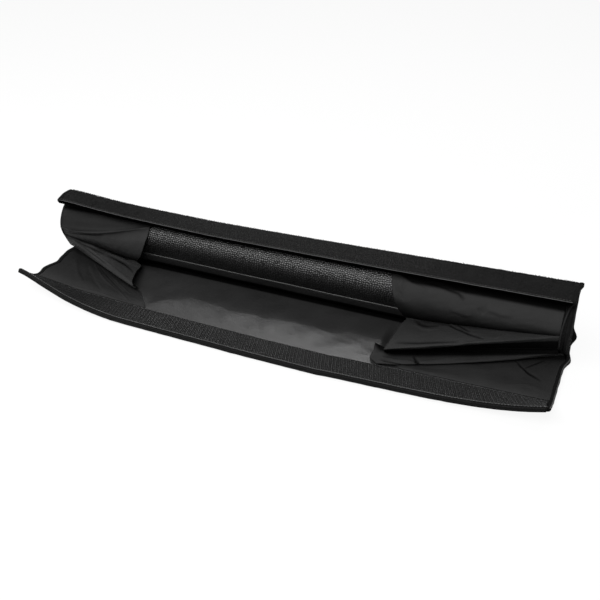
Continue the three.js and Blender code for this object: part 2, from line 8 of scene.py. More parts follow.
import bmesh
import bpy
import numpy as np
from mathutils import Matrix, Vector


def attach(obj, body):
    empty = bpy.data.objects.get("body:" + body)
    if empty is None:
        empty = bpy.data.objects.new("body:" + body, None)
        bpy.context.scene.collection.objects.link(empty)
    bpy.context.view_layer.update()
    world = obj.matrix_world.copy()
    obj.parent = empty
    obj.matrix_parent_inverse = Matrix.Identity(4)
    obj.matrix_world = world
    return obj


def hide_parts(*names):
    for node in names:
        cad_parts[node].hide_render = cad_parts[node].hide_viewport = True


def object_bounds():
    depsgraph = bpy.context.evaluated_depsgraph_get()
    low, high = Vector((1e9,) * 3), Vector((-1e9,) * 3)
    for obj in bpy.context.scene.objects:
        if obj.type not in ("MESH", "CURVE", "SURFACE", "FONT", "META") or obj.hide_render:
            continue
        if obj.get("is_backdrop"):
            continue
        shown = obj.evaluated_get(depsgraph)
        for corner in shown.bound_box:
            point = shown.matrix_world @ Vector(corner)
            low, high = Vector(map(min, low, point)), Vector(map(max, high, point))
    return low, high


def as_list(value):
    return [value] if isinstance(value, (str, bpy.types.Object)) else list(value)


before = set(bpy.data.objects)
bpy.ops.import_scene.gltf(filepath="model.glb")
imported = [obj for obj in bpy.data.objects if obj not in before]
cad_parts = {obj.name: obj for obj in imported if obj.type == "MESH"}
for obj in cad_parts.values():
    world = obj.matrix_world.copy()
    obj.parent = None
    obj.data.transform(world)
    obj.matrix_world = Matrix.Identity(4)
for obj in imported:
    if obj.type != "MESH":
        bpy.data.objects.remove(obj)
cad_low, cad_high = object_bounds()
print("CAD box", [round(v, 4) for v in cad_high - cad_low], "nodes", len(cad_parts))

# %% [markdown]
# The camera stands where the photographer stood: in front, to the right and 32 degrees up. Its
# place was fitted to the pad's long parallel edges. A camera looks along its own -Z, so the
# direction back from the aim is turned into a rotation with to_track_quat.

# %% Camera
AIM = Vector((0.00584, 0.0, -0.00079))
ELEVATION, AZIMUTH = np.radians(32.0), np.radians(23.009)
DISTANCE = 1.1637
LENS = 52.98

level = np.cos(ELEVATION)
back = Vector((np.sin(AZIMUTH) * level, -np.cos(AZIMUTH) * level, np.sin(ELEVATION)))
camera = bpy.data.objects.new("camera", bpy.data.cameras.new("camera"))
bpy.context.scene.collection.objects.link(camera)
camera.data.sensor_width = 36.0
camera.data.lens = LENS
camera.location = AIM + DISTANCE * back
camera.rotation_mode = "QUATERNION"
camera.rotation_quaternion = back.to_track_quat("Z", "Y")
bpy.context.scene.camera = camera
print("camera at", [round(v, 3) for v in camera.location])

# %% [markdown]
# The CAD model's sizes come again here, in millimetres, because a detailed piece has to sit
# exactly where its plain solid sits. x runs along the bar, y to the back and z up.

# %% Sizes, in millimetres
MM = 0.001
LENGTH, HALF = 700.0, 350.0
FLAP_REACH, HOOK_WIDTH, LOOP_WIDTH = 105.0, 38.0, 32.5
FRONT_BINDING_WIDTH, FRONT_BINDING_HEIGHT = 4.8, 6.0
ROOF_BINDING_WIDTH, ROOF_BINDING_HEIGHT = 2.4, 3.8
END_TAPE_WIDTH, END_TAPE_HEIGHT = 6.0, 3.6
BOLSTER_HEIGHT, BOLSTER_BULGE, BULGE_HEIGHT, SEAM_HEIGHT = 77.5, 21.3, 49.0, 29.0
BACK_Y, BACK_CORNER_RADIUS, RIDGE_RADIUS = 17.0, 7.0, 4.2
END_PANEL_DEPTH = 11.0
LEFT_SLEEVE_LENGTH, RIGHT_SLEEVE_LENGTH = 181.0, 214.0
COVER, LINING, HOOK_BACKING, LOOP, FACING, SLEEVE = 1.2, 0.6, 0.7, 1.8, 1.0, 0.6
GAP = 0.3

TAPE_INSIDE = HALF - END_TAPE_WIDTH
CLOTH_END = TAPE_INSIDE + 2.0
STRIP_END = TAPE_INSIDE + 0.5
BOLSTER_END = HALF - END_PANEL_DEPTH - GAP
HOOK_START = FLAP_REACH + GAP
FLAP_END = HOOK_START + HOOK_WIDTH
LINING_TOP = COVER + GAP + LINING
ROOF_REACH = RIDGE_RADIUS + LOOP_WIDTH
LOOP_LAYER = LOOP + GAP
ROOF_WIDTH = ROOF_REACH + ROOF_BINDING_WIDTH
print("flap to", FLAP_END, "roof to", ROOF_WIDTH)

# %% [markdown]
# The pad has settled: the roof climbs to the right, and both ends of the flap curl up off the
# floor. These curves are functions of the place along the bar, and every piece asks them, so
# tapes, linings and stitches stay together without any fitting.

# %% How the cloth has settled
RIDGE, RISE_LEFT, RISE_LEFT_SPAN = 84.0, 4.0, 70.0
RISE_RIGHT, RISE_RIGHT_START, RISE_RIGHT_POWER = 16.0, -120.0, 1.15
TILT_LEFT, TILT_RIGHT = 1.0, 17.0
CROWN, CROWN_LEFT, CROWN_SPAN = 1.5, 2.5, 60.0
CURL, CURL_LEFT, CURL_RIGHT = 2.5, 33.5, 23.5
CURL_SPAN_LEFT, CURL_SPAN_RIGHT, CURL_POWER_LEFT, CURL_POWER_RIGHT = 190.0, 260.0, 1.4, 4
PULL_LEFT, PULL_CORNER, PULL_CORNER_SPAN, PULL_CORNER_POWER = 7.0, 9.0, 90.0, 1.5
PULL_RIGHT, PULL_RIGHT_POWER = 11.0, 0.7
BEND_START, BEND_LENGTH = 92.0, 25.0
LEFT_BUMPS = ((-14, 10, 2.5), (-45, 8, -3.5), (-67, 11, 4.2))


def mix(a, b, t):
    """From a at t = 0 in a straight line to b at t = 1."""
    return a + (b - a) * t


def smooth(t):
    """An S curve from 0 to 1: three t squared less two t cubed."""
    t = np.clip(t, 0.0, 1.0)
    return t * t * (3 - 2 * t)


def bell(t):
    """1 at t = 0, falling off on both sides: e to the power of minus t squared."""
    return np.exp(-(t**2))


def near_left(x, span):
    """1 at the left end, in a straight line down to 0 at span from it."""
    return np.clip((span - HALF - x) / span, 0, 1)


def near_right(x, span):
    """1 at the right end, in a straight line down to 0 at span from it."""
    return np.clip((x - HALF + span) / span, 0, 1)


def ridge_height(x):
    """The ridge, with a bell of rise at the left end and a slow climb to the right one."""
    climb = np.clip((x - RISE_RIGHT_START) / (HALF - RISE_RIGHT_START), 0, 1) ** RISE_RIGHT_POWER
    return RIDGE + RISE_LEFT * bell((x + HALF) / RISE_LEFT_SPAN) + RISE_RIGHT * climb


def roof_tilt(x):
    """The angle that the roof slopes forward by, growing evenly from left to right."""
    return np.radians(mix(TILT_LEFT, TILT_RIGHT, (x + HALF) / LENGTH))


def roof_crown(x):
    """How far the roof arches above a straight line, with more at the left end."""
    return CROWN + CROWN_LEFT * bell((x + HALF) / CROWN_SPAN)


def curl(x):
    """The angle that the flap turns up by: a little everywhere, and more towards each corner."""
    left = CURL_LEFT * smooth(near_left(x, CURL_SPAN_LEFT)) ** CURL_POWER_LEFT
    return np.radians(CURL + left + CURL_RIGHT * near_right(x, CURL_SPAN_RIGHT) ** CURL_POWER_RIGHT)


def pull(x):
    """How far the flap's cloth is gathered back towards the bolster near its ends."""
    corner = PULL_CORNER * near_left(x, PULL_CORNER_SPAN) ** PULL_CORNER_POWER
    right = PULL_RIGHT * near_right(x, CURL_SPAN_RIGHT) ** PULL_RIGHT_POWER
    return PULL_LEFT * near_left(x, HALF) + corner + right


def settle(points):
    """The last small shifts, read off the photograph: both ends bulge out a little where the cloth
    is pushed aside, and the flap's left tip lifts. Each is a bell or an S curve."""
    x, y, z = points.T
    right, left = smooth((x - 290) / 60), smooth((-x - 300) / 50)
    on_floor = bell(z / 10)
    heel = 6.0 * bell((z - 23) / 9) * smooth((y - 8) / 6)
    foot = 5.5 * bell((y + 4) / 13) * on_floor
    tip = 3.0 * bell((z - 97) / 5) * smooth(y / 10)
    bumps = sum(out * bell((y - middle) / reach) * on_floor for middle, reach, out in LEFT_BUMPS)
    x = x + right * (heel + foot + tip) - left * bumps
    return np.stack([x, y, z + 2.5 * left * smooth((-y - 90) / 30)], 1)


def place(x, y, z):
    """Points from three arrays that broadcast together."""
    return np.stack(np.broadcast_arrays(x, y, z), -1).astype(float)


def column(count, end=CLOTH_END):
    """Places along the bar from -end to end, as a column to spread over a grid."""
    return np.linspace(-end, end, count)[:, None]


print("ridge", np.round(ridge_height(np.array([-HALF, -150, 0, HALF])), 1))

# %% Points on the flap, the roof and the bolster's face


def flap_point(x, w, h=0.0):
    """w along the cloth from the crease, h above its underside: flat, then an arc, then straight."""
    turn = curl(x)
    bent = np.clip(w - BEND_START, 0, BEND_LENGTH)
    straight = np.maximum(w - BEND_START - BEND_LENGTH, 0)
    angle = turn * bent / BEND_LENGTH
    radius = BEND_LENGTH / turn
    y = pull(x) * np.minimum(w, FLAP_REACH) / FLAP_REACH - np.minimum(w, BEND_START)
    y = y - radius * np.sin(angle) - straight * np.cos(angle) + h * np.sin(angle)
    z = radius * (1 - np.cos(angle)) + straight * np.sin(angle) + h * np.cos(angle)
    return place(x, y, z)


def roof_point(x, w, h=0.0):
    """w forward from the ridge, h above the top of the loop strip: a tilted line with a crown."""
    t = w / ROOF_WIDTH
    tilt = roof_tilt(x)
    arch = roof_crown(x) * 4 * t * (1 - t)
    y = BACK_Y - w * np.cos(tilt) - h * np.sin(tilt)
    return place(x, y, ridge_height(x) - w * np.sin(tilt) + arch + h * np.cos(tilt))


def bezier(handles, t):
    """A cubic curve through four handles, and its direction."""
    a, b, c, d = [np.array(p, float) for p in handles]
    t = np.asarray(t, float)[..., None]
    spot = (1 - t) ** 3 * a + 3 * t * (1 - t) ** 2 * b + 3 * t * t * (1 - t) * c + t**3 * d
    way = (1 - t) ** 2 * (b - a) + 2 * t * (1 - t) * (c - b) + t * t * (d - c)
    return spot, way / np.linalg.norm(way, axis=-1, keepdims=True)


FOOT_Z = LINING_TOP + GAP
LOWER_FACE = (
    (3.5, FOOT_Z),
    (-0.4 * BOLSTER_BULGE, mix(FOOT_Z, BULGE_HEIGHT, 0.36)),
    (-BOLSTER_BULGE, mix(FOOT_Z, BULGE_HEIGHT, 0.68)),
    (-BOLSTER_BULGE, BULGE_HEIGHT),
)
UPPER_FACE = (
    (-BOLSTER_BULGE, BULGE_HEIGHT),
    (-BOLSTER_BULGE, mix(BULGE_HEIGHT, BOLSTER_HEIGHT, 0.36)),
    (-0.43 * BOLSTER_BULGE, BOLSTER_HEIGHT),
    (4.0, BOLSTER_HEIGHT),
)


def face_point(x, t, h=0.0):
    """t from the foot (0) to the top (1) of the bolster's face, h out from it."""
    t = np.clip(np.asarray(t, float), 0, 1)
    low, low_way = bezier(LOWER_FACE, np.minimum(2 * t, 1))
    high, high_way = bezier(UPPER_FACE, np.maximum(2 * t - 1, 0))
    upper = (t > 0.5)[..., None]
    spot, way = np.where(upper, high, low), np.where(upper, high_way, low_way)
    return place(x, spot[..., 0] - h * way[..., 1], spot[..., 1] + h * way[..., 0])


face_steps = np.linspace(0, 1, 401)
face_heights = face_point(0, face_steps)[..., 2]


def face_at(height):
    """How far along the face a height lies."""
    return np.interp(height, face_heights, face_steps)


print("seam at", round(float(face_at(SEAM_HEIGHT)), 3), "of the face")

# %% [markdown]
# Cloth is never quite even. Two patterns are worked out as whole arrays: crossed cosine waves for
# soft unevenness, and cells round scattered middles for pebbles and pile. Each has a seed of its
# own, so the pad is the same on every run.

# %% Unevenness and cells


def ripples(a, b, size, seed, stretch=1.0, count=9):
    """Waves about size long that cross at random angles, added up and evened out to about -1 to 1."""
    draw = np.random.default_rng(seed)
    total = 0.0
    for _ in range(count):
        turn, start = draw.uniform(0, np.pi), draw.uniform(0, 2 * np.pi)
        long = size * draw.uniform(0.7, 1.6)
        way = a * np.cos(turn) / stretch + b * np.sin(turn)
        total = total + np.cos(2 * np.pi * way / long + start)
    return total / np.sqrt(2 * count)


def scatter_noise(i, j, seed):
    """A number from 0 to 1 for each whole cell, from the fraction of a large sine."""
    mess = np.sin(i * 127.1 + j * 311.7 + seed * 74.7) * 43758.5453
    return mess - np.floor(mess)


def cells(a, b, size, seed, jitter=0.8):
    """Distances to the nearest and second nearest of scattered middles, one in each square cell."""
    a, b = np.broadcast_arrays(a / size, b / size)
    near, second = np.full(a.shape, 9.0), np.full(a.shape, 9.0)
    for di in (-1, 0, 1):
        for dj in (-1, 0, 1):
            i, j = np.floor(a) + di, np.floor(b) + dj
            x = i + 0.5 + jitter * (scatter_noise(i, j, seed) - 0.5)
            y = j + 0.5 + jitter * (scatter_noise(i, j, seed + 5) - 0.5)
            gap = np.hypot(a - x, b - y)
            second = np.minimum(second, np.maximum(near, gap))
            near = np.minimum(near, gap)
    return near, second


def normals(points):
    """Across the surface at each grid point: the cross product of its two grid directions."""
    cross = np.cross(np.gradient(points, axis=0), np.gradient(points, axis=1))
    return cross / np.maximum(np.linalg.norm(cross, axis=-1, keepdims=True), 1e-9)


def raised(points, height):
    """The surface moved along its own normals."""
    return points + normals(points) * np.asarray(height)[..., None]


# %% [markdown]
# Every piece ends up as a closed mesh: a shell between two grids, a section carried along a path,
# or a small shape set down many times. foreach_set hands Blender the arrays whole, which is far
# quicker than making vertices one by one.

# %% From grids to Blender meshes


def grid_faces(rows, columns, wrap=False):
    """The quads of a grid of points; wrap joins the last column to the first."""
    last = columns if wrap else columns - 1
    i, j = np.meshgrid(np.arange(rows - 1), np.arange(last), indexing="ij")
    k = (j + 1) % columns
    quads = np.stack([i * columns + j, (i + 1) * columns + j, (i + 1) * columns + k, i * columns + k], -1)
    return quads.reshape(-1, 4)


def new_mesh(name, points, faces, uv=None):
    """A mesh from points in millimetres and arrays of faces, with its normals made to point out."""
    mesh = bpy.data.meshes.new(name)
    points = settle(np.asarray(points, float).reshape(-1, 3))
    corners = np.concatenate([f.reshape(-1) for f in faces]).astype(np.int32)
    sizes = np.concatenate([np.full(f.shape[0], f.shape[1]) for f in faces])
    mesh.vertices.add(len(points))
    mesh.vertices.foreach_set("co", (points * MM).reshape(-1).astype(np.float32))
    mesh.loops.add(len(corners))
    mesh.loops.foreach_set("vertex_index", corners)
    mesh.polygons.add(len(sizes))
    mesh.polygons.foreach_set("loop_start", np.concatenate([[0], np.cumsum(sizes)[:-1]]).astype(np.int32))
    mesh.polygons.foreach_set("use_smooth", np.ones(len(sizes), bool))
    if uv is not None:
        layer = mesh.uv_layers.new(name="cloth")
        layer.data.foreach_set("uv", (np.reshape(uv, (-1, 2))[corners] * MM).reshape(-1).astype(np.float32))
    mesh.update(calc_edges=True)
    work = bmesh.new()
    work.from_mesh(mesh)
    bmesh.ops.recalc_face_normals(work, faces=work.faces)
    work.to_mesh(mesh)
    work.free()
    return mesh


def shell(name, outer, inner, uv):
    """A closed sheet between two grids of the same size, joined round their four edges."""
    rows, columns = outer.shape[:2]
    count = rows * columns
    side = grid_faces(rows, columns)
    number = np.arange(count).reshape(rows, columns)
    rim = np.concatenate([number[0], number[1:, -1], number[-1, -2::-1], number[-2:0:-1, 0]])
    after = np.roll(rim, -1)
    wall = np.stack([rim, after, after + count, rim + count], -1)
    both = np.concatenate([outer.reshape(-1, 3), inner.reshape(-1, 3)])
    return new_mesh(name, both, [side, side[:, ::-1] + count, wall], np.concatenate([uv.reshape(-1, 2)] * 2))


def carried(name, sections, uv=None):
    """A closed section carried along a path: sections is path by section by 3, with flat ends."""
    rows, columns = sections.shape[:2]
    number = np.arange(columns)
    caps = np.stack([number[::-1], number + (rows - 1) * columns])
    return new_mesh(name, sections, [grid_faces(rows, columns, wrap=True), caps], uv)


def cord_sections(path, radius, side, sides=8):
    """Rings of the given radius round a path; side says roughly where the first point of a ring lies."""
    way = np.gradient(path, axis=0)
    way /= np.linalg.norm(way, axis=1, keepdims=True)
    across = np.asarray(side, float) - (way @ np.asarray(side, float))[:, None] * way
    across /= np.linalg.norm(across, axis=1, keepdims=True)
    up = np.cross(way, across)
    turn = np.linspace(0, 2 * np.pi, sides, endpoint=False)[None, :, None]
    radius = np.broadcast_to(radius, len(path))[:, None, None]
    return path[:, None] + radius * (np.cos(turn) * across[:, None] + np.sin(turn) * up[:, None])


def set_down(name, shape, faces, spots, along, across, up):
    """One small shape repeated: its x, y and z run along three given directions at each spot."""
    axes = np.stack([along, across, up], 1)
    points = spots[:, None] + np.einsum("mk,nkc->nmc", shape, axes)
    shift = (np.arange(len(spots)) * len(shape))[:, None, None]
    return new_mesh(name, points, [(f[None] + shift).reshape(-1, f.shape[1]) for f in faces])


def paint_shade(mesh, painted_shade):
    """Stores painted shade for each point, 0 to 1, for the finish to make its colour and gloss darker."""
    layer = mesh.attributes.new("painted_shade", "FLOAT", "POINT")
    layer.data.foreach_set("value", np.asarray(painted_shade, float).reshape(-1).astype(np.float32))
    return mesh


made = {}


def add_piece(mesh, material, slot, *nodes):
    """Puts a mesh in the scene on the pad's one body, in place of the CAD nodes that it stands for."""
    piece = bpy.data.objects.new(mesh.name, mesh)
    bpy.context.scene.collection.objects.link(piece)
    mesh.materials.append(material)
    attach(piece, "root")
    if nodes:
        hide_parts(*nodes)
    made[mesh.name] = piece
    print(mesh.name, len(mesh.polygons), "faces")
    return piece


# %% [markdown]
# Four effects come back in most of the finishes, so each is a node group that is built once: a
# plain weave of threads, ribs across a tape, soft unevenness of tone, and fine creases. A group
# only puts out numbers that vary over the surface. The shader that uses them stays outside it.

# %% Helpers for node trees
def fill(tree, node, values):
    """Sets or links a node's sockets, given in order or by name."""
    for key, value in values.items() if isinstance(values, dict) else enumerate(values):
        if isinstance(value, bpy.types.NodeSocket):
            tree.links.new(value, node.inputs[key])
        else:
            node.inputs[key].default_value = value


def add_node(tree, kind, values=(), **settings):
    """A node with its settings and its sockets."""
    node = tree.nodes.new(kind)
    for key, value in settings.items():
        setattr(node, key, value)
    fill(tree, node, values)
    return node


def calc(tree, operation, *values):
    """The result of one Math node."""
    return add_node(tree, "ShaderNodeMath", values, operation=operation).outputs[0]


def remap(tree, *values):
    """The result of a Map Range node: a value, the range it comes in and the one it goes to."""
    return add_node(tree, "ShaderNodeMapRange", values).outputs[0]


def scaled(tree, vector, by):
    """A vector or a colour times a number."""
    return add_node(tree, "ShaderNodeVectorMath", {0: vector, "Scale": by}, operation="SCALE").outputs[0]


def blend(tree, share, a, b):
    """The colour a at share 0, b at share 1."""
    mixed = add_node(tree, "ShaderNodeMix", {"Factor": share, "A": a, "B": b}, data_type="RGBA")
    return mixed.outputs["Result"]


def arches(tree, value):
    """A round arch over each unit: the sine of pi times the value, without its sign."""
    return calc(tree, "ABSOLUTE", calc(tree, "SINE", calc(tree, "MULTIPLY", value, np.pi)))


def noise(tree, vector, scale, detail, distortion=0.0):
    """Cloudy noise, with about as many patches to a metre as scale says."""
    values = {"Vector": vector, "Scale": scale, "Detail": detail, "Distortion": distortion}
    return add_node(tree, "ShaderNodeTexNoise", values, noise_dimensions="3D").outputs["Fac"]


def bump(tree, height, distance, normal=None):
    """A normal tilted by a height that varies over the surface, on top of another if there is one."""
    values = {"Distance": distance, "Height": height}
    if normal:
        values["Normal"] = normal
    return add_node(tree, "ShaderNodeBump", values).outputs[0]


def new_group(name, numbers, outputs=("Height",)):
    """A node group that takes a vector and some numbers: its tree, what it is given, its results."""
    tree = bpy.data.node_groups.new(name, "ShaderNodeTree")
    tree.interface.new_socket(name="Vector", in_out="INPUT", socket_type="NodeSocketVector")
    for side, labels in (("INPUT", numbers), ("OUTPUT", outputs)):
        for label in labels:
            tree.interface.new_socket(name=label, in_out=side, socket_type="NodeSocketFloat")
    return tree, tree.nodes.new("NodeGroupInput").outputs, tree.nodes.new("NodeGroupOutput").inputs


# %% Plain weave, and ribs across a tape
weave, given, result = new_group("plain_weave", ["Threads per metre"])
threads = scaled(weave, given["Vector"], given["Threads per metre"])
parts = add_node(weave, "ShaderNodeSeparateXYZ", [threads]).outputs
thread_x, thread_y = arches(weave, parts[0]), arches(weave, parts[1])
cell = calc(weave, "ADD", calc(weave, "FLOOR", parts[0]), calc(weave, "FLOOR", parts[1]))
over = calc(weave, "MODULO", calc(weave, "ABSOLUTE", cell), 2.0)
long_x = calc(weave, "MULTIPLY", thread_y, calc(weave, "MULTIPLY_ADD", thread_x, 0.5, 0.5))
long_y = calc(weave, "MULTIPLY", thread_x, calc(weave, "MULTIPLY_ADD", thread_y, 0.5, 0.5))
over_x = calc(weave, "MULTIPLY", long_x, over)
over_y = calc(weave, "MULTIPLY", long_y, calc(weave, "SUBTRACT", 1.0, over))
weave.links.new(calc(weave, "ADD", over_x, over_y), result["Height"])

ribs, given, result = new_group("tape_ribs", ["Ribs per metre", "Slant"])
parts = add_node(ribs, "ShaderNodeSeparateXYZ", [given["Vector"]]).outputs
slanted = calc(ribs, "MULTIPLY_ADD", parts[1], given["Slant"], parts[0])
ribs.links.new(arches(ribs, calc(ribs, "MULTIPLY", slanted, given["Ribs per metre"])), result["Height"])
print("plain_weave", len(weave.nodes), "nodes, tape_ribs", len(ribs.nodes))

# %% Soft unevenness with specks of lint, and fine creases
uneven, given, result = new_group("uneven_tone", ["Patches per metre"], ["Tone", "Lint"])
uneven.links.new(noise(uneven, given["Vector"], given["Patches per metre"], 3.0), result["Tone"])
specks = noise(uneven, given["Vector"], 900.0, 1.0)
uneven.links.new(remap(uneven, specks, 0.72, 0.8, 0.0, 1.0), result["Lint"])

crinkle, given, result = new_group("fine_creases", ["Creases per metre"])
bent = noise(crinkle, given["Vector"], given["Creases per metre"], 2.0, 0.6)
folded = calc(crinkle, "ABSOLUTE", calc(crinkle, "SUBTRACT", bent, 0.5))
crinkle.links.new(calc(crinkle, "POWER", folded, 0.5), result["Height"])
print("uneven_tone", len(uneven.nodes), "nodes, fine_creases", len(crinkle.nodes))

# %% [markdown]
# One function lays these effects into a Principled BSDF, and each finish is a row of values for
# it: two greys, how rough the cloth is, thread count, how deep the weave is. The colours are
# nearly black, because what the photograph shows as grey is mostly gloss: a black cloth in a white
# room reflects about a twentieth of it.

# %% Cloth finishes
CREASE_DEPTH = 0.0002
LINT_COLOUR = (0.09, 0.09, 0.088, 1)
WEAVE_DARK, WEAVE_LIGHT = 0.55, 1.15


def cloth(name, dark, light, roughness, gloss=0.5, depth=0.0001, patches=30.0, painted_shade=0.0, **extra):
    """A cloth finish: tone between two greys, roughness that follows it, and on the cloth's own map
    a weave (threads) or ribs (rib_count, slant). Extra may also hold creases and lint. The painted
    shade share says how much darker and duller the cloth is painted where its mesh holds painted shade."""
    material = bpy.data.materials.new(name)
    material.use_nodes = True
    tree = material.node_tree

    def effect(group, vector, **numbers):
        """The outputs of a node group in this material, given a vector and its numbers by name."""
        node = add_node(tree, "ShaderNodeGroup", node_tree=group)
        fill(tree, node, {"Vector": vector} | {k.replace("_", " "): v for k, v in numbers.items()})
        return node.outputs

    here = add_node(tree, "ShaderNodeTexCoord").outputs["Object"]
    own_map = add_node(tree, "ShaderNodeUVMap", uv_map="cloth").outputs[0]
    spots = effect(uneven, here, Patches_per_metre=patches)
    colour = blend(tree, spots["Tone"], (dark, dark, dark, 1), (light, light, light, 1))
    pattern = normal = None
    if "threads" in extra:
        pattern = effect(weave, own_map, Threads_per_metre=extra["threads"])[0]
    if "rib_count" in extra:
        pattern = effect(ribs, own_map, Ribs_per_metre=extra["rib_count"], Slant=extra.get("slant", 0.0))[0]
    if pattern:
        colour = scaled(tree, colour, remap(tree, pattern, 0.0, 1.0, WEAVE_DARK, WEAVE_LIGHT))
    if "lint" in extra:
        colour = blend(tree, calc(tree, "MULTIPLY", spots["Lint"], extra["lint"]), colour, LINT_COLOUR)
    # Painted shade: where the mesh holds painted shade, the colour and the gloss are made darker.
    if painted_shade:
        inside = add_node(tree, "ShaderNodeAttribute", attribute_name="painted_shade").outputs["Fac"]
        open_share = calc(tree, "MULTIPLY_ADD", inside, -painted_shade, 1.0)
        colour, gloss = scaled(tree, colour, open_share), calc(tree, "MULTIPLY", open_share, gloss)
    if "creases" in extra:
        lines = effect(crinkle, here, Creases_per_metre=extra["creases"])[0]
        normal = bump(tree, lines, CREASE_DEPTH)
    if pattern:
        normal = bump(tree, pattern, depth, normal)
    rough = remap(tree, spots["Tone"], 0.3, 0.7, roughness - 0.05, roughness + 0.05)
    values = {"Base Color": colour, "Roughness": rough, "Specular IOR Level": gloss}
    if normal:
        values["Normal"] = normal
    fill(tree, tree.nodes["Principled BSDF"], values)
    return material


woven_cover = cloth("woven_cover", 0.008, 0.015, 0.7, 0.3, threads=1400, depth=0.00012, lint=0.5)
satin_lining = cloth("satin_lining", 0.017, 0.025, 0.33, 0.62, threads=3200, depth=0.00002, painted_shade=0.9)
thin_nylon = cloth("thin_nylon", 0.018, 0.028, 0.6, 0.07, threads=2600, depth=0.00004, creases=60, painted_shade=0.9)
hook_backing = cloth("hook_backing", 0.006, 0.010, 0.8, 0.15, threads=1100, depth=0.0002)
hook_plastic = cloth("hook_plastic", 0.042, 0.062, 0.5, 0.9, patches=60.0, painted_shade=1.0)
loop_backing = cloth("loop_backing", 0.004, 0.007, 0.9, 0.15, threads=1300, depth=0.0002)
loop_pile = cloth("loop_pile", 0.0, 0.066, 0.9, 0.2, patches=340.0, painted_shade=1.0)
ribbed_tape = cloth("ribbed_tape", 0.001, 0.0025, 0.5, 0.08, rib_count=620, depth=0.0002, painted_shade=0.95)
striped_tape = cloth("striped_tape", 0.001, 0.006, 0.6, 0.06, rib_count=420, slant=1.0, depth=0.0005)
pebbled_grip = cloth("pebbled_grip", 0.0095, 0.0155, 0.33, 1.0, painted_shade=0.9)
smooth_facing = cloth("smooth_facing", 0.009, 0.014, 0.5, creases=120, painted_shade=0.95)
end_wrap = cloth("end_wrap", 0.005, 0.018, 0.9, 0.04, threads=700, depth=0.0004, patches=200.0)
bolster_wrap = cloth("bolster_wrap", 0.008, 0.013, 0.8, 0.3, patches=50.0)
# A paler finish for the end tapes' edge cords: a painted highlight line.
painted_edge_highlight = cloth("painted_edge_highlight", 0.030, 0.050, 0.6, 0.3, patches=150.0)
sewing_thread = cloth("sewing_thread", 0.014, 0.026, 0.45, patches=120.0)
print(len(bpy.data.materials), "materials")

# %% [markdown]
# The cover is one piece of woven cloth. Seen in section it runs from the flap's front edge, under
# the bolster, up the back, over the ridge and forward as the roof. It is made as two grids, its
# outer and its inner side, that ask the same run of points at two depths. The back gets a little
# unevenness, always outward, so that it never cuts into the bolster.

# %% The run of the cover
FOLD_Y = BACK_Y - RIDGE_RADIUS
FLAP_SPOTS = np.concatenate([np.linspace(FLAP_END, FLAP_REACH, 20), np.linspace(FLAP_REACH, 0, 34)[1:]])
ROOF_SPOTS = np.linspace(RIDGE_RADIUS, ROOF_REACH, 14)[1:]


def cover_run(x, h, over=0.0):
    """A line round the cover, h inside its outer side, for a column of x: flap, foot, corner, back,
    ridge fold and roof, one after another. From the fold on it stands over by so much more."""
    flap = flap_point(x, FLAP_SPOTS, h)
    middle = BACK_Y - BACK_CORNER_RADIUS
    under = place(x, np.linspace(0, middle, 5)[1:-1], h)
    turn = np.linspace(-np.pi / 2, 0, 8)
    reach = BACK_CORNER_RADIUS - h
    corner = place(x, middle + reach * np.cos(turn), BACK_CORNER_RADIUS + reach * np.sin(turn))
    tilt = roof_tilt(x)
    drop = RIDGE_RADIUS * (1 + np.sin(tilt)) / np.cos(tilt)
    fold_height = ridge_height(x) - LOOP_LAYER - drop
    back_wall = place(x, BACK_Y - h, mix(BACK_CORNER_RADIUS, fold_height, np.linspace(0, 1, 26)[1:-1]))
    turn = np.linspace(0, 1, 8) * (np.pi / 2 + tilt)
    reach = RIDGE_RADIUS - h + over * smooth(np.linspace(0, 1.5, 8))
    fold = place(x, FOLD_Y + reach * np.cos(turn), fold_height + reach * np.sin(turn))
    roof = roof_point(x, ROOF_SPOTS, over - LOOP_LAYER - h)
    return np.concatenate([flap, under, corner, back_wall, fold, roof], axis=1)


def run_lengths(points):
    """How far along its line each point lies; a grid of points is a stack of such lines."""
    steps = np.linalg.norm(np.diff(points, axis=-2), axis=-1)
    return np.concatenate([np.zeros((*steps.shape[:-1], 1)), np.cumsum(steps, axis=-1)], axis=-1)


def layer(name, top, low, x, material, slot, node, painted_shade=None):
    """A piece of cloth between two grids. Its own map has the place along the bar, and along the run."""
    along = run_lengths(top)
    mesh = shell(name, top, low, np.stack([np.broadcast_to(x, along.shape), along], -1))
    if painted_shade is not None:
        paint_shade(mesh, painted_shade)
    return add_piece(mesh, material, slot, node)


# %% The woven cover
BACK_SEAMS = (13.0, 72.0)
PUCKER = 9.5
x = column(300)
outer, inner = cover_run(x, 0.0), cover_run(x, COVER)
run = run_lengths(outer)
y, z = outer[..., 1], outer[..., 2]
high = smooth((z - 6) / 14) * (y > 0) * smooth((ridge_height(x) - 6 - z) / 8)
dents = ripples(x, run, 95, 3, stretch=1.6) + 0.5 * ripples(x, run, 34, 4)
puckers = np.maximum(np.cos(2 * np.pi * x / PUCKER + 2 * ripples(x, run, 60, 5)), 0)
near_seams = sum(bell((z - seam) / 5) for seam in BACK_SEAMS)
y += np.maximum(high * (0.9 + 0.7 * dents - 0.5 * puckers * near_seams), -0.2)
cover = layer("cover", outer, inner, x, woven_cover, "woven_cover", "outer_cover")

# %% [markdown]
# Inside, the flap is lined with a satin-smooth coated cloth. It is what catches most light in the
# photograph: a broad pale band where it comes down to the hook strip, and dark near the bolster.
# So it swells to a crest, whose place along the bar was read off the photograph, and slopes down
# from there at one angle, which mirrors the lamp. It only lifts, and only where no sleeve lies.

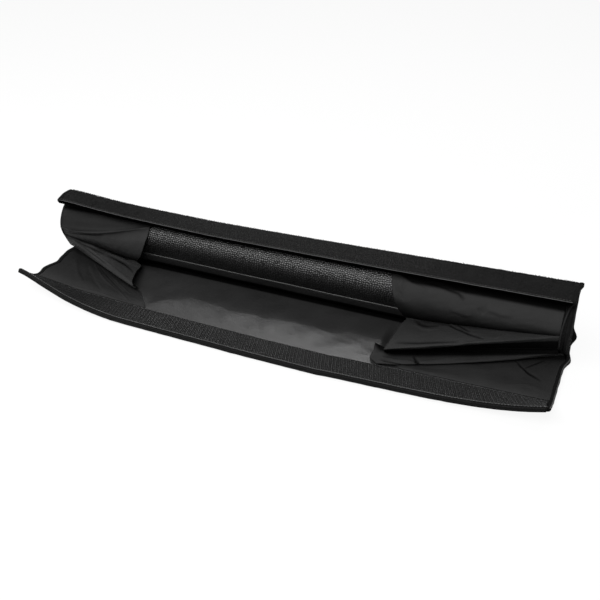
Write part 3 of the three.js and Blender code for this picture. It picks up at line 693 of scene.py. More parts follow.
# %% The lining of the flap, and of the roof
SLOPE = 0.14
CREST_X = (-180, -168, -152, -121, -94, -62, -17, 34, 77, 96, 118, 140)
CREST_W = (98, 93, 82, 66, 67, 71, 69, 64, 68, 60, 59, 62)
TUCKED_IN = 4.0
x = column(340)
w = np.append(np.linspace(-TUCKED_IN, FLAP_REACH - 0.05, 71), FLAP_REACH)
open_part = smooth((x + 206) / 24) * smooth((147 - x) / 11)
edges = smooth(w / 25) * smooth((FLAP_REACH - w) / 16)
waves = 0.5 + 0.6 * ripples(x, w, 85, 11, stretch=1.5) + 0.42 * ripples(x, w, 30, 12, stretch=1.5)
waves = waves + 0.14 * ripples(x, w, 13, 14, stretch=1.3) * smooth((w - 60) / 12)
crest = np.interp(x, CREST_X, CREST_W) + 1.5 * ripples(x, 0 * x, 30, 15)
puff = SLOPE * (FLAP_REACH - np.maximum(w, crest)) * smooth(w / crest) * smooth((x + 176) / 14)
lift = np.maximum(open_part * (edges * waves + puff), 0)
top, low = [raised(flap_point(x, w, h), -lift) for h in (LINING_TOP, COVER + GAP)]
# Painted shadow on the lining next to the bolster's foot, within about 6 mm of the crease.
foot_shadow = np.broadcast_to(smooth((6 - w) / 3), top.shape[:2])
foot_shadow = [foot_shadow, foot_shadow]
flap_lining = layer("flap_lining_cloth", top, low, x, satin_lining, "coated_lining", "flap_lining", foot_shadow)

x = column(160)
w = np.linspace(RIDGE_RADIUS + 6, ROOF_REACH, 16)
depth = -LOOP_LAYER - COVER - GAP
top, low = roof_point(x, w, depth), roof_point(x, w, depth - LINING)
roof_lining = layer("roof_lining_cloth", top, low, x, satin_lining, "coated_lining", "roof_facing")

# %% [markdown]
# A hook strip is a woven tape that stands full of small plastic hooks, in rows across it. Both are
# made: the tape as a thin shell, and one hook of a few dozen faces set down some thousands of
# times, each turned and leaning a little differently. Every other row stands a little taller,
# which gives the strip its ribbed look. Towards both ends the hooks get painted shade, most at the left.

# %% The hook strip
def frames(spots, above, ahead):
    """Three directions at each spot: along to the spot ahead, across, and up to the spot above."""
    up = above - spots
    up /= np.linalg.norm(up, axis=-1, keepdims=True)
    along = ahead - spots
    along -= np.sum(along * up, -1, keepdims=True) * up
    along /= np.linalg.norm(along, axis=-1, keepdims=True)
    return along, np.cross(up, along), up


def bent_wire(path, radius, sides):
    """A little closed wire along a path in x and z, for a hook, a loop of pile or a stitch."""
    path = np.array([(p[0], 0.0, p[1]) for p in path], float)
    rings = cord_sections(path, radius, (0, 1, 0), sides).reshape(-1, 3)
    last = (len(path) - 1) * sides
    ends = np.stack([np.arange(sides)[::-1], np.arange(sides) + last])
    return rings, [grid_faces(len(path), sides, wrap=True), ends]


def turned(along, across, angle):
    """Two directions turned about the third by an angle each."""
    c, s = np.cos(angle)[:, None], np.sin(angle)[:, None]
    return c * along + s * across, c * across - s * along


def bristles(name, wire, point_at, x, w, h, spin, tip, size, darker_ends, material, slot):
    """One wire set down at each spot of a strip, spun and tipped over by angles of its own."""
    shape, faces = wire
    spots = point_at(x, w, h)
    along, across, up = frames(spots, point_at(x, w, h + 1), point_at(x + 1, w, h))
    along, across = turned(along, across, spin)
    across, up = turned(across, up, tip)
    size = size[:, None]
    mesh = set_down(name, shape, faces, spots, along * size, across * size, up * size)
    return add_piece(paint_shade(mesh, np.repeat(darker_ends, len(shape))), material, slot)


x, w = column(300), np.linspace(HOOK_START, FLAP_END, 22)
HOOK_FOOT = COVER + GAP + HOOK_BACKING
top, low = flap_point(x, w, HOOK_FOOT), flap_point(x, w, COVER + GAP)
hook_tape = layer("hook_tape_backing", top, low, x, hook_backing, "hook_tape", "hook_strip")

HOOK_ROW, HOOK_STEP = 2.2, 1.7
hook_wire = bent_wire([(-0.3, -0.2), (-0.28, 0.8), (0.05, 1.25), (0.5, 1.2), (0.72, 0.85)], 0.2, 3)
draw = np.random.default_rng(21)
reach = np.arange(-STRIP_END - HOOK_WIDTH, STRIP_END, HOOK_ROW)
slant = mix(0.1, 0.45, (reach + HALF) / LENGTH)
row, w = np.meshgrid(np.arange(reach.size), np.arange(HOOK_START + 1.6, FLAP_END - 1.4, HOOK_STEP))
x = reach[row] + slant[row] * (w - HOOK_START)
kept = np.abs(x) < STRIP_END - 1
row, x, w = row[kept], x[kept], w[kept]
x = x + draw.normal(0, 0.16, x.size)
w = w + draw.normal(0, 0.14, w.size)
lean = draw.normal(0, 0.5, x.size) + np.where(draw.random(x.size) > 0.5, 0, np.pi)
taller = mix(0.2, 0.14, np.clip((x + HALF) / 250, 0, 1))
size = 0.94 + np.where(row % 2 == 0, taller, -taller)
# Painted shade on the hooks: darker towards both ends, and most at the left end.
darker_ends = 0.75 * smooth((-130 - x) / 130) + 0.25 * smooth((x - 30) / 150)
hooks = bristles(
    "hooks", hook_wire, flap_point, x, w, HOOK_FOOT, lean, 0 * x, size, darker_ends, hook_plastic, "hook_tape"
)

# %% [markdown]
# The loop strip on the roof is the soft half. Its pile is thousands of tiny loops, tangled and
# pressed over, on a woven tape. From the camera each loop is smaller than a pixel, but together
# they give the dull, slightly mottled top that no bump texture gives along the edges.

# %% The loop strip
PILE_STEP, PILE_FOOT = 1.76, -0.75
x, w = column(300), np.linspace(RIDGE_RADIUS, ROOF_REACH, 22)
mottle = 0.25 * ripples(x, w, 7, 31) + 0.2 * ripples(x, w, 22, 32)
top, low = raised(roof_point(x, w, -0.7), mottle), roof_point(x, w, -LOOP)
loop_tape = layer("loop_tape_backing", top, low, x, loop_backing, "loop_tape", "loop_strip")

loop_wire = bent_wire([(-0.65, -0.2), (-0.6, 0.5), (0, 0.85), (0.6, 0.5), (0.65, -0.2)], 0.17, 3)
draw = np.random.default_rng(33)
x = np.arange(-STRIP_END + 0.8, STRIP_END - 0.6, PILE_STEP)
x, w = [v.ravel() for v in np.meshgrid(x, np.arange(RIDGE_RADIUS + 0.7, ROOF_REACH - 0.3, PILE_STEP))]
x = np.clip(x + draw.normal(0, 0.5, x.size), -STRIP_END, STRIP_END)
w = np.clip(w + draw.normal(0, 0.5, w.size), RIDGE_RADIUS, ROOF_REACH)
spin, tip = draw.uniform(0, 2 * np.pi, x.size), draw.normal(0, 0.45, x.size)
size = draw.uniform(0.8, 1.35, x.size)
# The pile is painted darker towards both ends of the strip.
darker_ends = 0.5 * smooth((np.abs(x) - 120) / 160)
pile = bristles(
    "loop_pile", loop_wire, roof_point, x, w, PILE_FOOT, spin, tip, size, darker_ends, loop_pile, "loop_tape"
)

# %% [markdown]
# A binding is a narrow tape folded over a raw edge and sewn through. Its section is carried along
# the edge: a rounded rectangle, given by a superellipse, so that the top stays flat enough to
# catch a line of light while the front stays dark. A thin cord in a paler colour along each long
# tape's edge is a painted highlight line, and the roof's binding is painted in full shade.

# %% Bindings along the two long edges
def rounded(width, height, power, sides):
    """A superellipse from 0 to width and 0 to height: a circle at power 2, a box at a high power."""
    turn = np.linspace(0, 2 * np.pi, sides, endpoint=False)
    a, b = np.cos(turn), np.sin(turn)
    across = np.sign(a) * np.abs(a) ** (2 / power)
    up = np.sign(b) * np.abs(b) ** (2 / power)
    return width * (1 + across) / 2, height * (1 + up) / 2


def taped(name, points, along, a, b, material, node, shade):
    """A tape from its sections, with its own map: the place along it, and round its section a, b."""
    uv = np.stack(np.broadcast_arrays(along, run_lengths(np.stack([a, b], -1))), -1)
    mesh = paint_shade(carried(name, points, uv), np.full(points.shape[:2], shade))
    return add_piece(mesh, material, "binding_tape", node)


def cord(name, path, radius, side, sides, material, slot):
    """A piece that is a plain cord along a path."""
    return add_piece(carried(name, cord_sections(path, radius, side, sides)), material, slot)


def binding(name, point_at, start, width, base, height, power, node, seed, shade):
    """A tape over an edge: the rounded section at each place along the bar, slightly uneven."""
    x = column(420)
    across, up = rounded(width, height, power, 18)
    uneven = 1 + 0.05 * ripples(x, 0 * x, 23, seed) + 0.03 * ripples(x, 0 * x, 9, seed + 1)
    points = point_at(x, start + across * uneven, base + up * (1 + 0.5 * (uneven - 1)))
    return taped(name, points, x, across, up, ribbed_tape, node, shade)


def edge_cord(name, point_at, w, h, radius):
    """The tape's turned edge, a thin cord in the paler thread colour: a painted highlight line."""
    x = column(420)[:, 0]
    path = point_at(x, w + 0.15 * ripples(x, 0 * x, 31, 45), h)
    return cord(name, path, radius, (0, -1, 0), 8, sewing_thread, "binding_tape")


size = (FRONT_BINDING_WIDTH, 0.0, FRONT_BINDING_HEIGHT, 3.2)
front_binding = binding("front_binding_tape", flap_point, FLAP_END + GAP, *size, "front_binding", 41, 0.0)
# The roof's binding gets full painted shade, as the black shadow under the roof's edge.
size = (ROOF_BINDING_WIDTH, -ROOF_BINDING_HEIGHT, ROOF_BINDING_HEIGHT, 2.6)
roof_binding = binding("roof_binding_tape", roof_point, ROOF_REACH + GAP, *size, "roof_binding", 43, 1.0)
front_cord = edge_cord("front_binding_edge", flap_point, FLAP_END + 1.0, FRONT_BINDING_HEIGHT - 0.1, 0.65)
roof_cord = edge_cord("roof_binding_edge", roof_point, ROOF_REACH + 0.6, 0.0, 0.45)

# %% Tapes over the two ends of the cover
def end_tape(name, side, node):
    """The cover's own run at the pad's end, in a rounded section across the tape: for each corner of
    the section the run is asked at that place along the bar and that depth."""
    across, deep = rounded(END_TAPE_WIDTH, END_TAPE_HEIGHT, 3.0, 16)
    over = (LOOP_LAYER + 0.3) * (1 - 0.7 * deep / END_TAPE_HEIGHT)
    corners = [cover_run(np.array([[side * (HALF - a)]]), d, o)[0] for a, d, o in zip(across, deep, over)]
    points = np.stack(corners, 1)
    along = run_lengths(points[:, 0])[:, None]
    points[..., 0] += side * 0.25 * ripples(along, along * 0, 16, 51)
    return taped(name, points, along, across, deep, striped_tape, node, 0.0)


def tape_edge(name, side):
    """The end tape's turned edge along the flap, a thin cord at its upper outer corner, painted
    paler as a highlight line.
    """
    path = flap_point(side * (HALF - 0.9), FLAP_SPOTS, END_TAPE_HEIGHT - 0.1)
    return cord(name, path, 0.75, (1, 0, 0), 8, painted_edge_highlight, "binding_tape")


left_tape = end_tape("left_end_binding", -1, "left_end_tape")
right_tape = end_tape("right_end_binding", 1, "right_end_tape")
left_tape_edge = tape_edge("left_tape_edge", -1)
right_tape_edge = tape_edge("right_tape_edge", 1)

# %% [markdown]
# The bolster is a foam bar in a cloth wrap. It starts a few millimetres too small, is remeshed
# into even faces, and Blender's cloth solver blows it up gently with gravity off; a cap holds
# every point close to where it began, so it never leaves the space that the CAD gives it.

# %% The bolster, swollen by a cloth simulation
ROOM_IN_FRONT, ROOM_BEHIND, ROOM_AT_END = 1.8, 1.6, 1.5


def bolster_loop(face_inset, back_inset, steps=40):
    """The bolster in section: its face set in, then round the top and down the cover's back."""
    face = face_point(0.0, np.linspace(0, 1, steps), -face_inset)[:, 1:]
    back = BACK_Y - COVER - GAP - back_inset
    corner = BACK_CORNER_RADIUS - COVER - GAP
    top, foot = face[-1, 1], FOOT_Z + back_inset
    down = np.linspace(np.pi / 2, 0, 7)
    shoulder = np.stack([back - corner + corner * np.cos(down), top - corner + corner * np.sin(down)], 1)
    heel = np.stack([back - corner + corner * np.cos(down), foot + corner - corner * np.sin(down)], 1)[::-1]
    return np.concatenate([face[1:], shoulder, heel])


def section_solid(name, stations, loops):
    """A closed body through one section for each station along the bar."""
    points = np.stack([np.column_stack([np.full(len(loop), s), loop]) for s, loop in zip(stations, loops)])
    return carried(name, points, np.stack([points[..., 0], run_lengths(points)], -1))


def evaluated(piece):
    """A copy of the piece's mesh with its modifiers applied."""
    graph = bpy.context.evaluated_depsgraph_get()
    return bpy.data.meshes.new_from_object(piece.evaluated_get(graph))


def swell(piece, voxel, pressure, cap, frames_run):
    """Remesh, blow up as cloth, hold each point within cap of its start, and smooth once."""
    remesh = piece.modifiers.new("even faces", "REMESH")
    remesh.mode, remesh.voxel_size = "VOXEL", voxel
    piece.data = evaluated(piece)
    piece.modifiers.remove(remesh)
    start = np.array([v.co for v in piece.data.vertices])
    solver = piece.modifiers.new("blown up", "CLOTH")
    solver.settings.use_pressure = True
    solver.settings.uniform_pressure_force = pressure
    solver.settings.effector_weights.gravity = 0.0
    for number in range(1, frames_run + 1):
        bpy.context.scene.frame_set(number)
    moved = np.array([v.co for v in evaluated(piece).vertices]) - start
    piece.modifiers.remove(solver)
    bpy.context.scene.frame_set(1)
    length = np.linalg.norm(moved, axis=1, keepdims=True)
    moved *= np.minimum(1, cap / np.maximum(length, 1e-9))
    piece.data.vertices.foreach_set("co", (start + moved).reshape(-1).astype(np.float32))
    piece.data.update()
    print(piece.name, "moved at most", round(float(length.max()) * 1000, 1), "mm before the cap")
    finer = piece.modifiers.new("finer", "SUBSURF")
    finer.levels = finer.render_levels = 1
    piece.data = evaluated(piece)
    piece.modifiers.remove(finer)
    piece.data.polygons.foreach_set("use_smooth", np.ones(len(piece.data.polygons), bool))


stations = [-BOLSTER_END + ROOM_AT_END, BOLSTER_END - ROOM_AT_END]
core_mesh = section_solid("bolster", stations, [bolster_loop(FACING + GAP + ROOM_IN_FRONT, ROOM_BEHIND)] * 2)
bolster = add_piece(core_mesh, bolster_wrap, "foam", "foam_core")
swell(bolster, voxel=0.005, pressure=4.0, cap=0.0018, frames_run=20)
bolster.data.name = "bolster"
if not bolster.data.materials:
    bolster.data.materials.append(bolster_wrap)
print("bolster", len(bolster.data.polygons), "faces")

# %% [markdown]
# The bolster's front is faced in two parts that meet in a seam: a panel pebbled like the grip of
# a tool, and a smooth strip below it. The pebbles are real shape. Each lies round a scattered
# middle and rises towards it, so at the top, where the face turns up to the light, they sparkle
# singly, as in the photograph. Painted shade lies in the gaps between them, grows towards the
# seam, and makes a black band under the roof's edge. Only the part between the sleeves needs
# the fine grid.

# %% The pebbled grip panel
seam_at = float(face_at(SEAM_HEIGHT))
SEAM_HALF = GAP / 2 / BOLSTER_HEIGHT
FACE_RUN = 92.0
PEBBLE = 2.9
GRIP_STEPS, INNER_STEPS = 104, 6
FINE_START, FINE_STOP = -222.0, 150.0
ROOF_SHADE = 0.885
FOOT_SHADE = 0.12


def seam_sway(x):
    """The seam isn't ruled: it wanders up and down the face by half a millimetre."""
    return 0.0045 * ripples(x, 0 * x, 120, 61)


def facing_loop(x, start, stop, lift, steps, sway_start, sway_stop):
    """A closed section of a facing: its outer side in fine steps, then its inner side in a few."""
    t = mix(start + sway_start, stop + sway_stop, np.linspace(0, 1, steps))
    outer = face_point(x, t, lift(x, t))
    inner_t = mix(start + sway_start, stop + sway_stop, np.linspace(1, 0, INNER_STEPS))
    return np.concatenate([outer, face_point(x, inner_t, -FACING)], axis=1)


def domes(x, t):
    """0 in the gaps between the pebbles, rising to 1 on each."""
    near, second = cells(x, t * FACE_RUN, PEBBLE, 71)
    return smooth((second - near) / 0.5)


def pebbles(x, t):
    """Rounded pebbles, 0.65 mm high, over a face that is itself a little uneven."""
    return 0.65 * domes(x, t) - 0.45 + 0.25 * ripples(x, t * FACE_RUN, 60, 72, stretch=1.5)


before, after = np.linspace(-BOLSTER_END, FINE_START, 24), np.linspace(FINE_STOP, BOLSTER_END, 30)
x = np.concatenate([before[:-1], np.linspace(FINE_START, FINE_STOP, 640), after[1:]])[:, None]
sway = seam_sway(x)
grip_points = facing_loop(x, seam_at + SEAM_HALF, 1.0, pebbles, GRIP_STEPS, sway, 0 * x)
t = mix(seam_at + SEAM_HALF + sway, 1.0, np.linspace(0, 1, GRIP_STEPS))
# Painted shade: dark between the pebbles, darker towards the seam, black under the roof's edge.
lit = domes(x, t) * (1 - 0.8 * smooth((0.87 - t) / 0.36))
gaps = np.maximum(1 - lit, smooth((t - ROOF_SHADE) / 0.01))
gaps = np.concatenate([gaps, np.zeros((len(x), INNER_STEPS))], 1)
grip_mesh = paint_shade(carried("pebbled_panel", grip_points), gaps)
add_piece(grip_mesh, pebbled_grip, "pebbled_grip", "grip_panel")


def facing_lift(x, t):
    """The smooth facing's unevenness: long soft ripples, a fifth of a millimetre high."""
    return 0.2 * ripples(x, t * FACE_RUN, 45, 73, stretch=1.6)


x = column(240, BOLSTER_END)
lower_points = facing_loop(x, 0.0, seam_at - SEAM_HALF, facing_lift, 24, 0 * x, seam_sway(x))
t = np.append(np.linspace(0, 1, 24), np.zeros(INNER_STEPS)) * seam_at
# Painted shadow at the facing's foot, where it meets the lining.
foot = np.broadcast_to(smooth((FOOT_SHADE - t) / 0.04), lower_points.shape[:2])
lower_mesh = paint_shade(carried("lower_facing_strip", lower_points), foot)
add_piece(lower_mesh, smooth_facing, "smooth_facing", "lower_facing")

x = column(420, BOLSTER_END - 2)[:, 0]
hem_path = face_point(x, seam_at + seam_sway(x) + 0.006, 0.4)
hem = cord("grip_hem", hem_path, 0.75, (0, -1, 0), 10, sewing_thread, "smooth_facing")

# %% The padded ends of the bolster
def bolster_end(name, side, node):
    """The bolster's section drawn in along a quarter of an ellipse towards the pad's end."""
    bend = np.linspace(0, np.pi / 2, 12)
    stations = side * (BOLSTER_END + GAP + (END_PANEL_DEPTH - 0.2) * np.sin(bend))
    inset = 3.4 * (1 - np.cos(bend))
    clear = END_TAPE_HEIGHT - COVER
    loops = [bolster_loop(-0.1 + i, min(clear, clear * k / 3) + 0.4 * i) for k, i in enumerate(inset)]
    return add_piece(section_solid(name, stations, loops), end_wrap, "woven_cover", node)


bolster_end("left_bolster_end", -1, "left_end_panel")
bolster_end("right_bolster_end", 1, "right_end_panel")

# %% [markdown]
# The end sleeves are the pad's most telling cloth. Each is sewn on three sides and open on the
# fourth, and lies collapsed in pleats. A sleeve is drawn as a stack of rows from its sewn end to
# its free edge: rows that hug the bolster, rows that stand in the air along a fold, rows that lie
# on the flap. A cubic through the stack makes one smooth sheet, and creases are pressed into it.
# Painted shade is laid into its deep creases and into the hollows under its folds.

# %% Spots for the rows of a sleeve
SLEEVE_LIFT = GAP + SLEEVE / 2 + 0.3
FLAP_LIFT = LINING_TOP + SLEEVE_LIFT
SLEEVE_SEAM = (FLAP_REACH - SLEEVE) / FLAP_REACH
SLEEVE_COLUMNS, SLEEVE_ROWS = 170, 250
u = np.linspace(0, 1, SLEEVE_COLUMNS)


def face_spot(x, height, lift):
    """On the face at a share of the bolster's height, lifted off it."""
    return face_point(x, face_at(height * BOLSTER_HEIGHT), SLEEVE_LIFT + lift)


def air_spot(x, forward, up):
    """In the air: a share of the flap's reach forward, a share of the bolster's height up."""
    return np.array([x, -forward * FLAP_REACH, FLAP_LIFT + up * BOLSTER_HEIGHT])


def along_face(start, stop, sag=0.0):
    """A row on the face between two (x, height, lift), sagging in its middle."""
    x, height, lift = [mix(a, b, u) for a, b in zip(start, stop)]
    return face_spot(x, height - sag * 4 * u * (1 - u), lift)


def along_flap(start, stop, rise=0.0):
    """A row on the flap between two (x, forward), rising in its middle."""
    x, forward = [mix(a, b, u) for a, b in zip(start, stop)]
    return flap_point(x, forward * FLAP_REACH, FLAP_LIFT + rise * 4 * u * (1 - u))


def across(start, stop, forward=0.0, up=0.0):
    """A straight row between two points, bowed forward and up in its middle."""
    bow = (4 * u * (1 - u))[:, None]
    return mix(start, stop, u[:, None]) + bow * np.array([0.0, -forward, up])


def through_rows(rows, count):
    """One smooth sheet through a stack of rows: each point follows a cubic through its places in
    them, whose slope at a row is the mean of the chords beside it, weighted to the shorter."""
    rows = np.array(rows)
    chord = np.linalg.norm(np.diff(rows, axis=0), axis=2).mean(1)
    at = np.concatenate([[0], np.cumsum(chord)])
    slope = np.diff(rows, axis=0) / chord[:, None, None]
    before, after = chord[:-1, None, None], chord[1:, None, None]
    middle = (slope[:-1] * after + slope[1:] * before) / (before + after)
    tangent = np.concatenate([slope[:1], middle, slope[-1:]])
    s = np.linspace(0, at[-1], count)
    i = np.clip(np.searchsorted(at, s, side="right") - 1, 0, len(chord) - 1)
    t = ((s - at[i]) / chord[i])[:, None, None]
    reach = chord[i][:, None, None]
    points = (2 * t**3 - 3 * t**2 + 1) * rows[i] + (t**3 - 2 * t**2 + t) * reach * tangent[i]
    points += (3 * t**2 - 2 * t**3) * rows[i + 1] + (t**3 - t**2) * reach * tangent[i + 1]
    return points, i + t[:, 0, 0], s


WIDE_CREASE = 2.6


def press(sheet, creases, length):
    """Creases pressed into a sheet, as a height for each point. A crease is a width and a height and
    then a line of row, u spots: its profile falls off as a bell on one side and twice as fast on the
    other, and it fades out at both ends. Where a narrow crease goes in, painted shade says how little light
    gets in."""
    points, row, s = sheet
    height, painted_shade = np.zeros(points.shape[:2]), np.zeros(points.shape[:2])
    a, b = u[None, :] * length, s[:, None]
    for width, tall, *line in creases:
        spot_row, spot_u = np.reshape(line, (-1, 2)).T
        spot_a, spot_b = spot_u * length, np.interp(spot_row, row, s)
        best = np.full(height.shape, 1e9)
        side, along = np.zeros(height.shape), np.zeros(height.shape)
        steps = np.hypot(np.diff(spot_a), np.diff(spot_b))
        done, total = 0.0, steps.sum()
        for k, step in enumerate(steps):
            way_a, way_b = (spot_a[k + 1] - spot_a[k]) / step, (spot_b[k + 1] - spot_b[k]) / step
            t = np.clip((a - spot_a[k]) * way_a + (b - spot_b[k]) * way_b, 0, step)
            off_a, off_b = a - spot_a[k] - t * way_a, b - spot_b[k] - t * way_b
            gap = np.hypot(off_a, off_b)
            closer = gap < best
            best = np.where(closer, gap, best)
            side = np.where(closer, way_a * off_b - way_b * off_a, side)
            along = np.where(closer, (done + t) / total, along)
            done += step
        wide = np.where(side > 0, width, 0.5 * width)
        fade = np.sqrt(np.clip(4 * along * (1 - along), 0, 1))
        height += tall * fade * bell(best / wide)
        deep = np.clip(-tall, 0, 1) * (width < WIDE_CREASE)
        painted_shade = np.maximum(painted_shade, deep * fade * bell(best / width))
    return height, painted_shade


# %% [markdown]
# The left sleeve is drawn down tight over the bolster, then makes one pleat forward over its own
# lower layer. Its free edge is ragged where the pleat ends.

# %% The left sleeve
def left_x(share):
    """A share of the left sleeve's length, inwards from the pad's left end."""
    return share * LEFT_SLEEVE_LENGTH - HALF


def sleeve_rows(at, end, tape, face, pleat, loose, flap):
    """A sleeve's rows from under the roof round to the hook strip, each from the sewn end, or the end
    tape, to the free edge: on the face, from the face out along a pleat, in the air, on the flap."""
    rows = [along_face((end, h, l), (at(s), *to[:2]), *to[2:]) for h, l, s, *to in face]
    rows += [across(face_spot(end, h, l), air_spot(at(s), *to[:2]), *to[2:]) for h, l, s, *to in pleat]
    for out, forward, up, share, *to in loose:
        rows.append(across(air_spot(end + out, forward, up), air_spot(at(share), *to[:2]), *to[2:]))
    return rows + [along_flap((tape, f), (at(s), to), *rise) for f, s, to, *rise in flap]


LEFT_ROWS = {
    "face": [
        (0.98, 0, 0.796, 0.948, 0),
        (0.88, 0.6, 0.796, 0.937, 0.2),
        (0.75, 0.8, 0.795, 0.924, 0.4, 0.026),
        (0.66, 0.8, 0.793, 0.908, 1, 0.045),
        (0.62, 2.2, 0.79, 0.89, 2.6, 0.052),
        (0.58, 0.8, 0.787, 0.826, 1, 0.052),
        (0.54, 0.3, 0.773, 0.665, 3.2, 0.026),
        (0.5, 0.2, 0.72, 0.43, 8.5),
    ],
    "pleat": [
        (0.47, 0.4, 0.653, 0.166, 0.158),
        (0.445, 0.4, 0.64, 0.13, 0.1),
        (0.4, 1, 0.663, 0.162, 0.088),
        (0.335, 2, 0.724, 0.381, 0.129, 2, 1),
        (0.255, 2.6, 0.779, 0.571, 0.134, 2, 1),
        (0.215, 3, 0.812, 0.686, 0.137),
        (0.19, 3.2, 0.815, 0.705, 0.116),
        (0.165, 2.8, 0.812, 0.69, 0.095),
    ],
    "loose": [
        (2, 0.035, 0.07, 0.807, 0.629, 0.052),
        (3, 0.03, 0.036, 0.803, 0.598, 0.026),
        (4.6, 0.05, 0.012, 0.807, 0.61, 0.01),
    ],
    "flap": [
        (0.13, 0.84, 0.667),
        (0.3, 0.884, 0.743, 1.5),
        (0.53, 0.928, 0.838),
        (0.76, 0.967, 0.914, 1.5),
        (SLEEVE_SEAM, 1, SLEEVE_SEAM),
    ],
}


def right_x(share):
    """A share of the right sleeve's length, inwards from the pad's right end."""
    return HALF - share * RIGHT_SLEEVE_LENGTH


RIGHT_ROWS = {
    "face": [
        (0.98, 0.2, 1.023, 0.948, 0),
        (0.89, 0.4, 1.009, 0.852, 0.8),
        (0.8, 0.5, 0.995, 0.735, 0.6),
        (0.72, 0.4, 0.981, 0.619, 1),
        (0.66, 0.3, 0.967, 0.49, 0.8),
        (0.62, 0.3, 0.949, 0.348, 1.4),
        (0.595, 0.4, 0.93, 0.232, 2),
        (0.58, 0.5, 0.921, 0.195, 1.6),
    ],
    "pleat": [
        (0.575, 0.9, 0.919, 0.286, 0.181),
        (0.57, 0.8, 0.921, 0.571, 0.212, 0, 1),
        (0.565, 1, 0.923, 0.819, 0.232),
        (0.55, 1, 0.925, 0.886, 0.232),
        (0.525, 0.6, 0.927, 0.876, 0.206),
        (0.46, 0.3, 0.935, 0.8, 0.11, -3, 0),
        (0.35, 0.3, 0.941, 0.755, 0.05, -4, -2),
        (0.29, 0.5, 0.947, 0.735, 0.03, -4, -1),
        (0.265, 0.8, 0.972, 0.7, 0.035),
        (0.24, 1.2, 0.995, 0.7, 0.035, 0, -2),
    ],
    "loose": [
        (1, 0.1, 0.14, 1.005, 0.8, 0.04, 3, 0),
        (2, 0.08, 0.11, 1, 0.905, 0.04, 7, 0),
        (3, 0.05, 0.085, 0.967, 0.98, 0.05, 9, 0),
        (4, 0.035, 0.068, 0.949, 0.985, 0.04, 9, 0),
        (4, 0.015, 0.036, 0.916, 0.94, 0.022, 5, 0),
        (4, 0.015, 0.012, 0.897, 0.905, 0.01, 3, 0),
    ],
    "flap": [
        (0.11, 0.879, 0.924),
        (0.32, 0.86, 0.943, 1),
        (0.55, 0.841, 0.962),
        (0.78, 0.827, 0.981, 1),
        (SLEEVE_SEAM, 0.813, SLEEVE_SEAM),
    ],
}


LEFT_CREASES = [
    (1.6, 2, 5.4, 0.02, 4.8, 0.27, 4.5, 0.5, 4.1, 0.72, 4, 0.88, 4.1, 0.99),
    (2.4, -0.9, 7, 0.03, 6, 0.27, 5.3, 0.52),
    (4, 0.8, 0.8, 0.03, 0.6, 0.3, 1.1, 0.63),
    (1.8, -1.1, 7.7, 0.13, 8.9, 0.33, 9.9, 0.52),
    (1.7, -1, 10.2, 0.12, 10.5, 0.33, 10.6, 0.56),
    (2.2, -3, 9.7, 0.48, 9.1, 0.7, 9.2, 0.85, 8, 1),
    (2, 1.5, 10.2, 0.54, 10.3, 0.74, 10.4, 0.89, 10.2, 1),
    (1.8, -1.1, 10.6, 0.6, 10.7, 0.81, 11, 0.94, 11.3, 0.98),
    (1.5, -0.7, 10.7, 0.17, 11.5, 0.39, 12, 0.6),
    (2, 0.7, 10.4, 0.26, 11.5, 0.55, 12.2, 0.78, 12.7, 0.95),
    (2.2, 1, 18.9, 0.34, 20.4, 0.54, 21.3, 0.74, 23, 0.9),
    (2, -0.9, 18.4, 0.41, 20.2, 0.62, 21.1, 0.81),
    (2, 0.8, 18.7, 0.52, 20.2, 0.74, 20.9, 0.88),
    (6, 0.9, 19.8, 0.11, 21.3, 0.29, 22.2, 0.41),
    (5, -0.9, 19.7, 0.27, 20.9, 0.44, 22.3, 0.6),
    (1.5, 0.6, 23, 0.08, 22.9, 0.29, 22.6, 0.59, 22.9, 0.88),
]
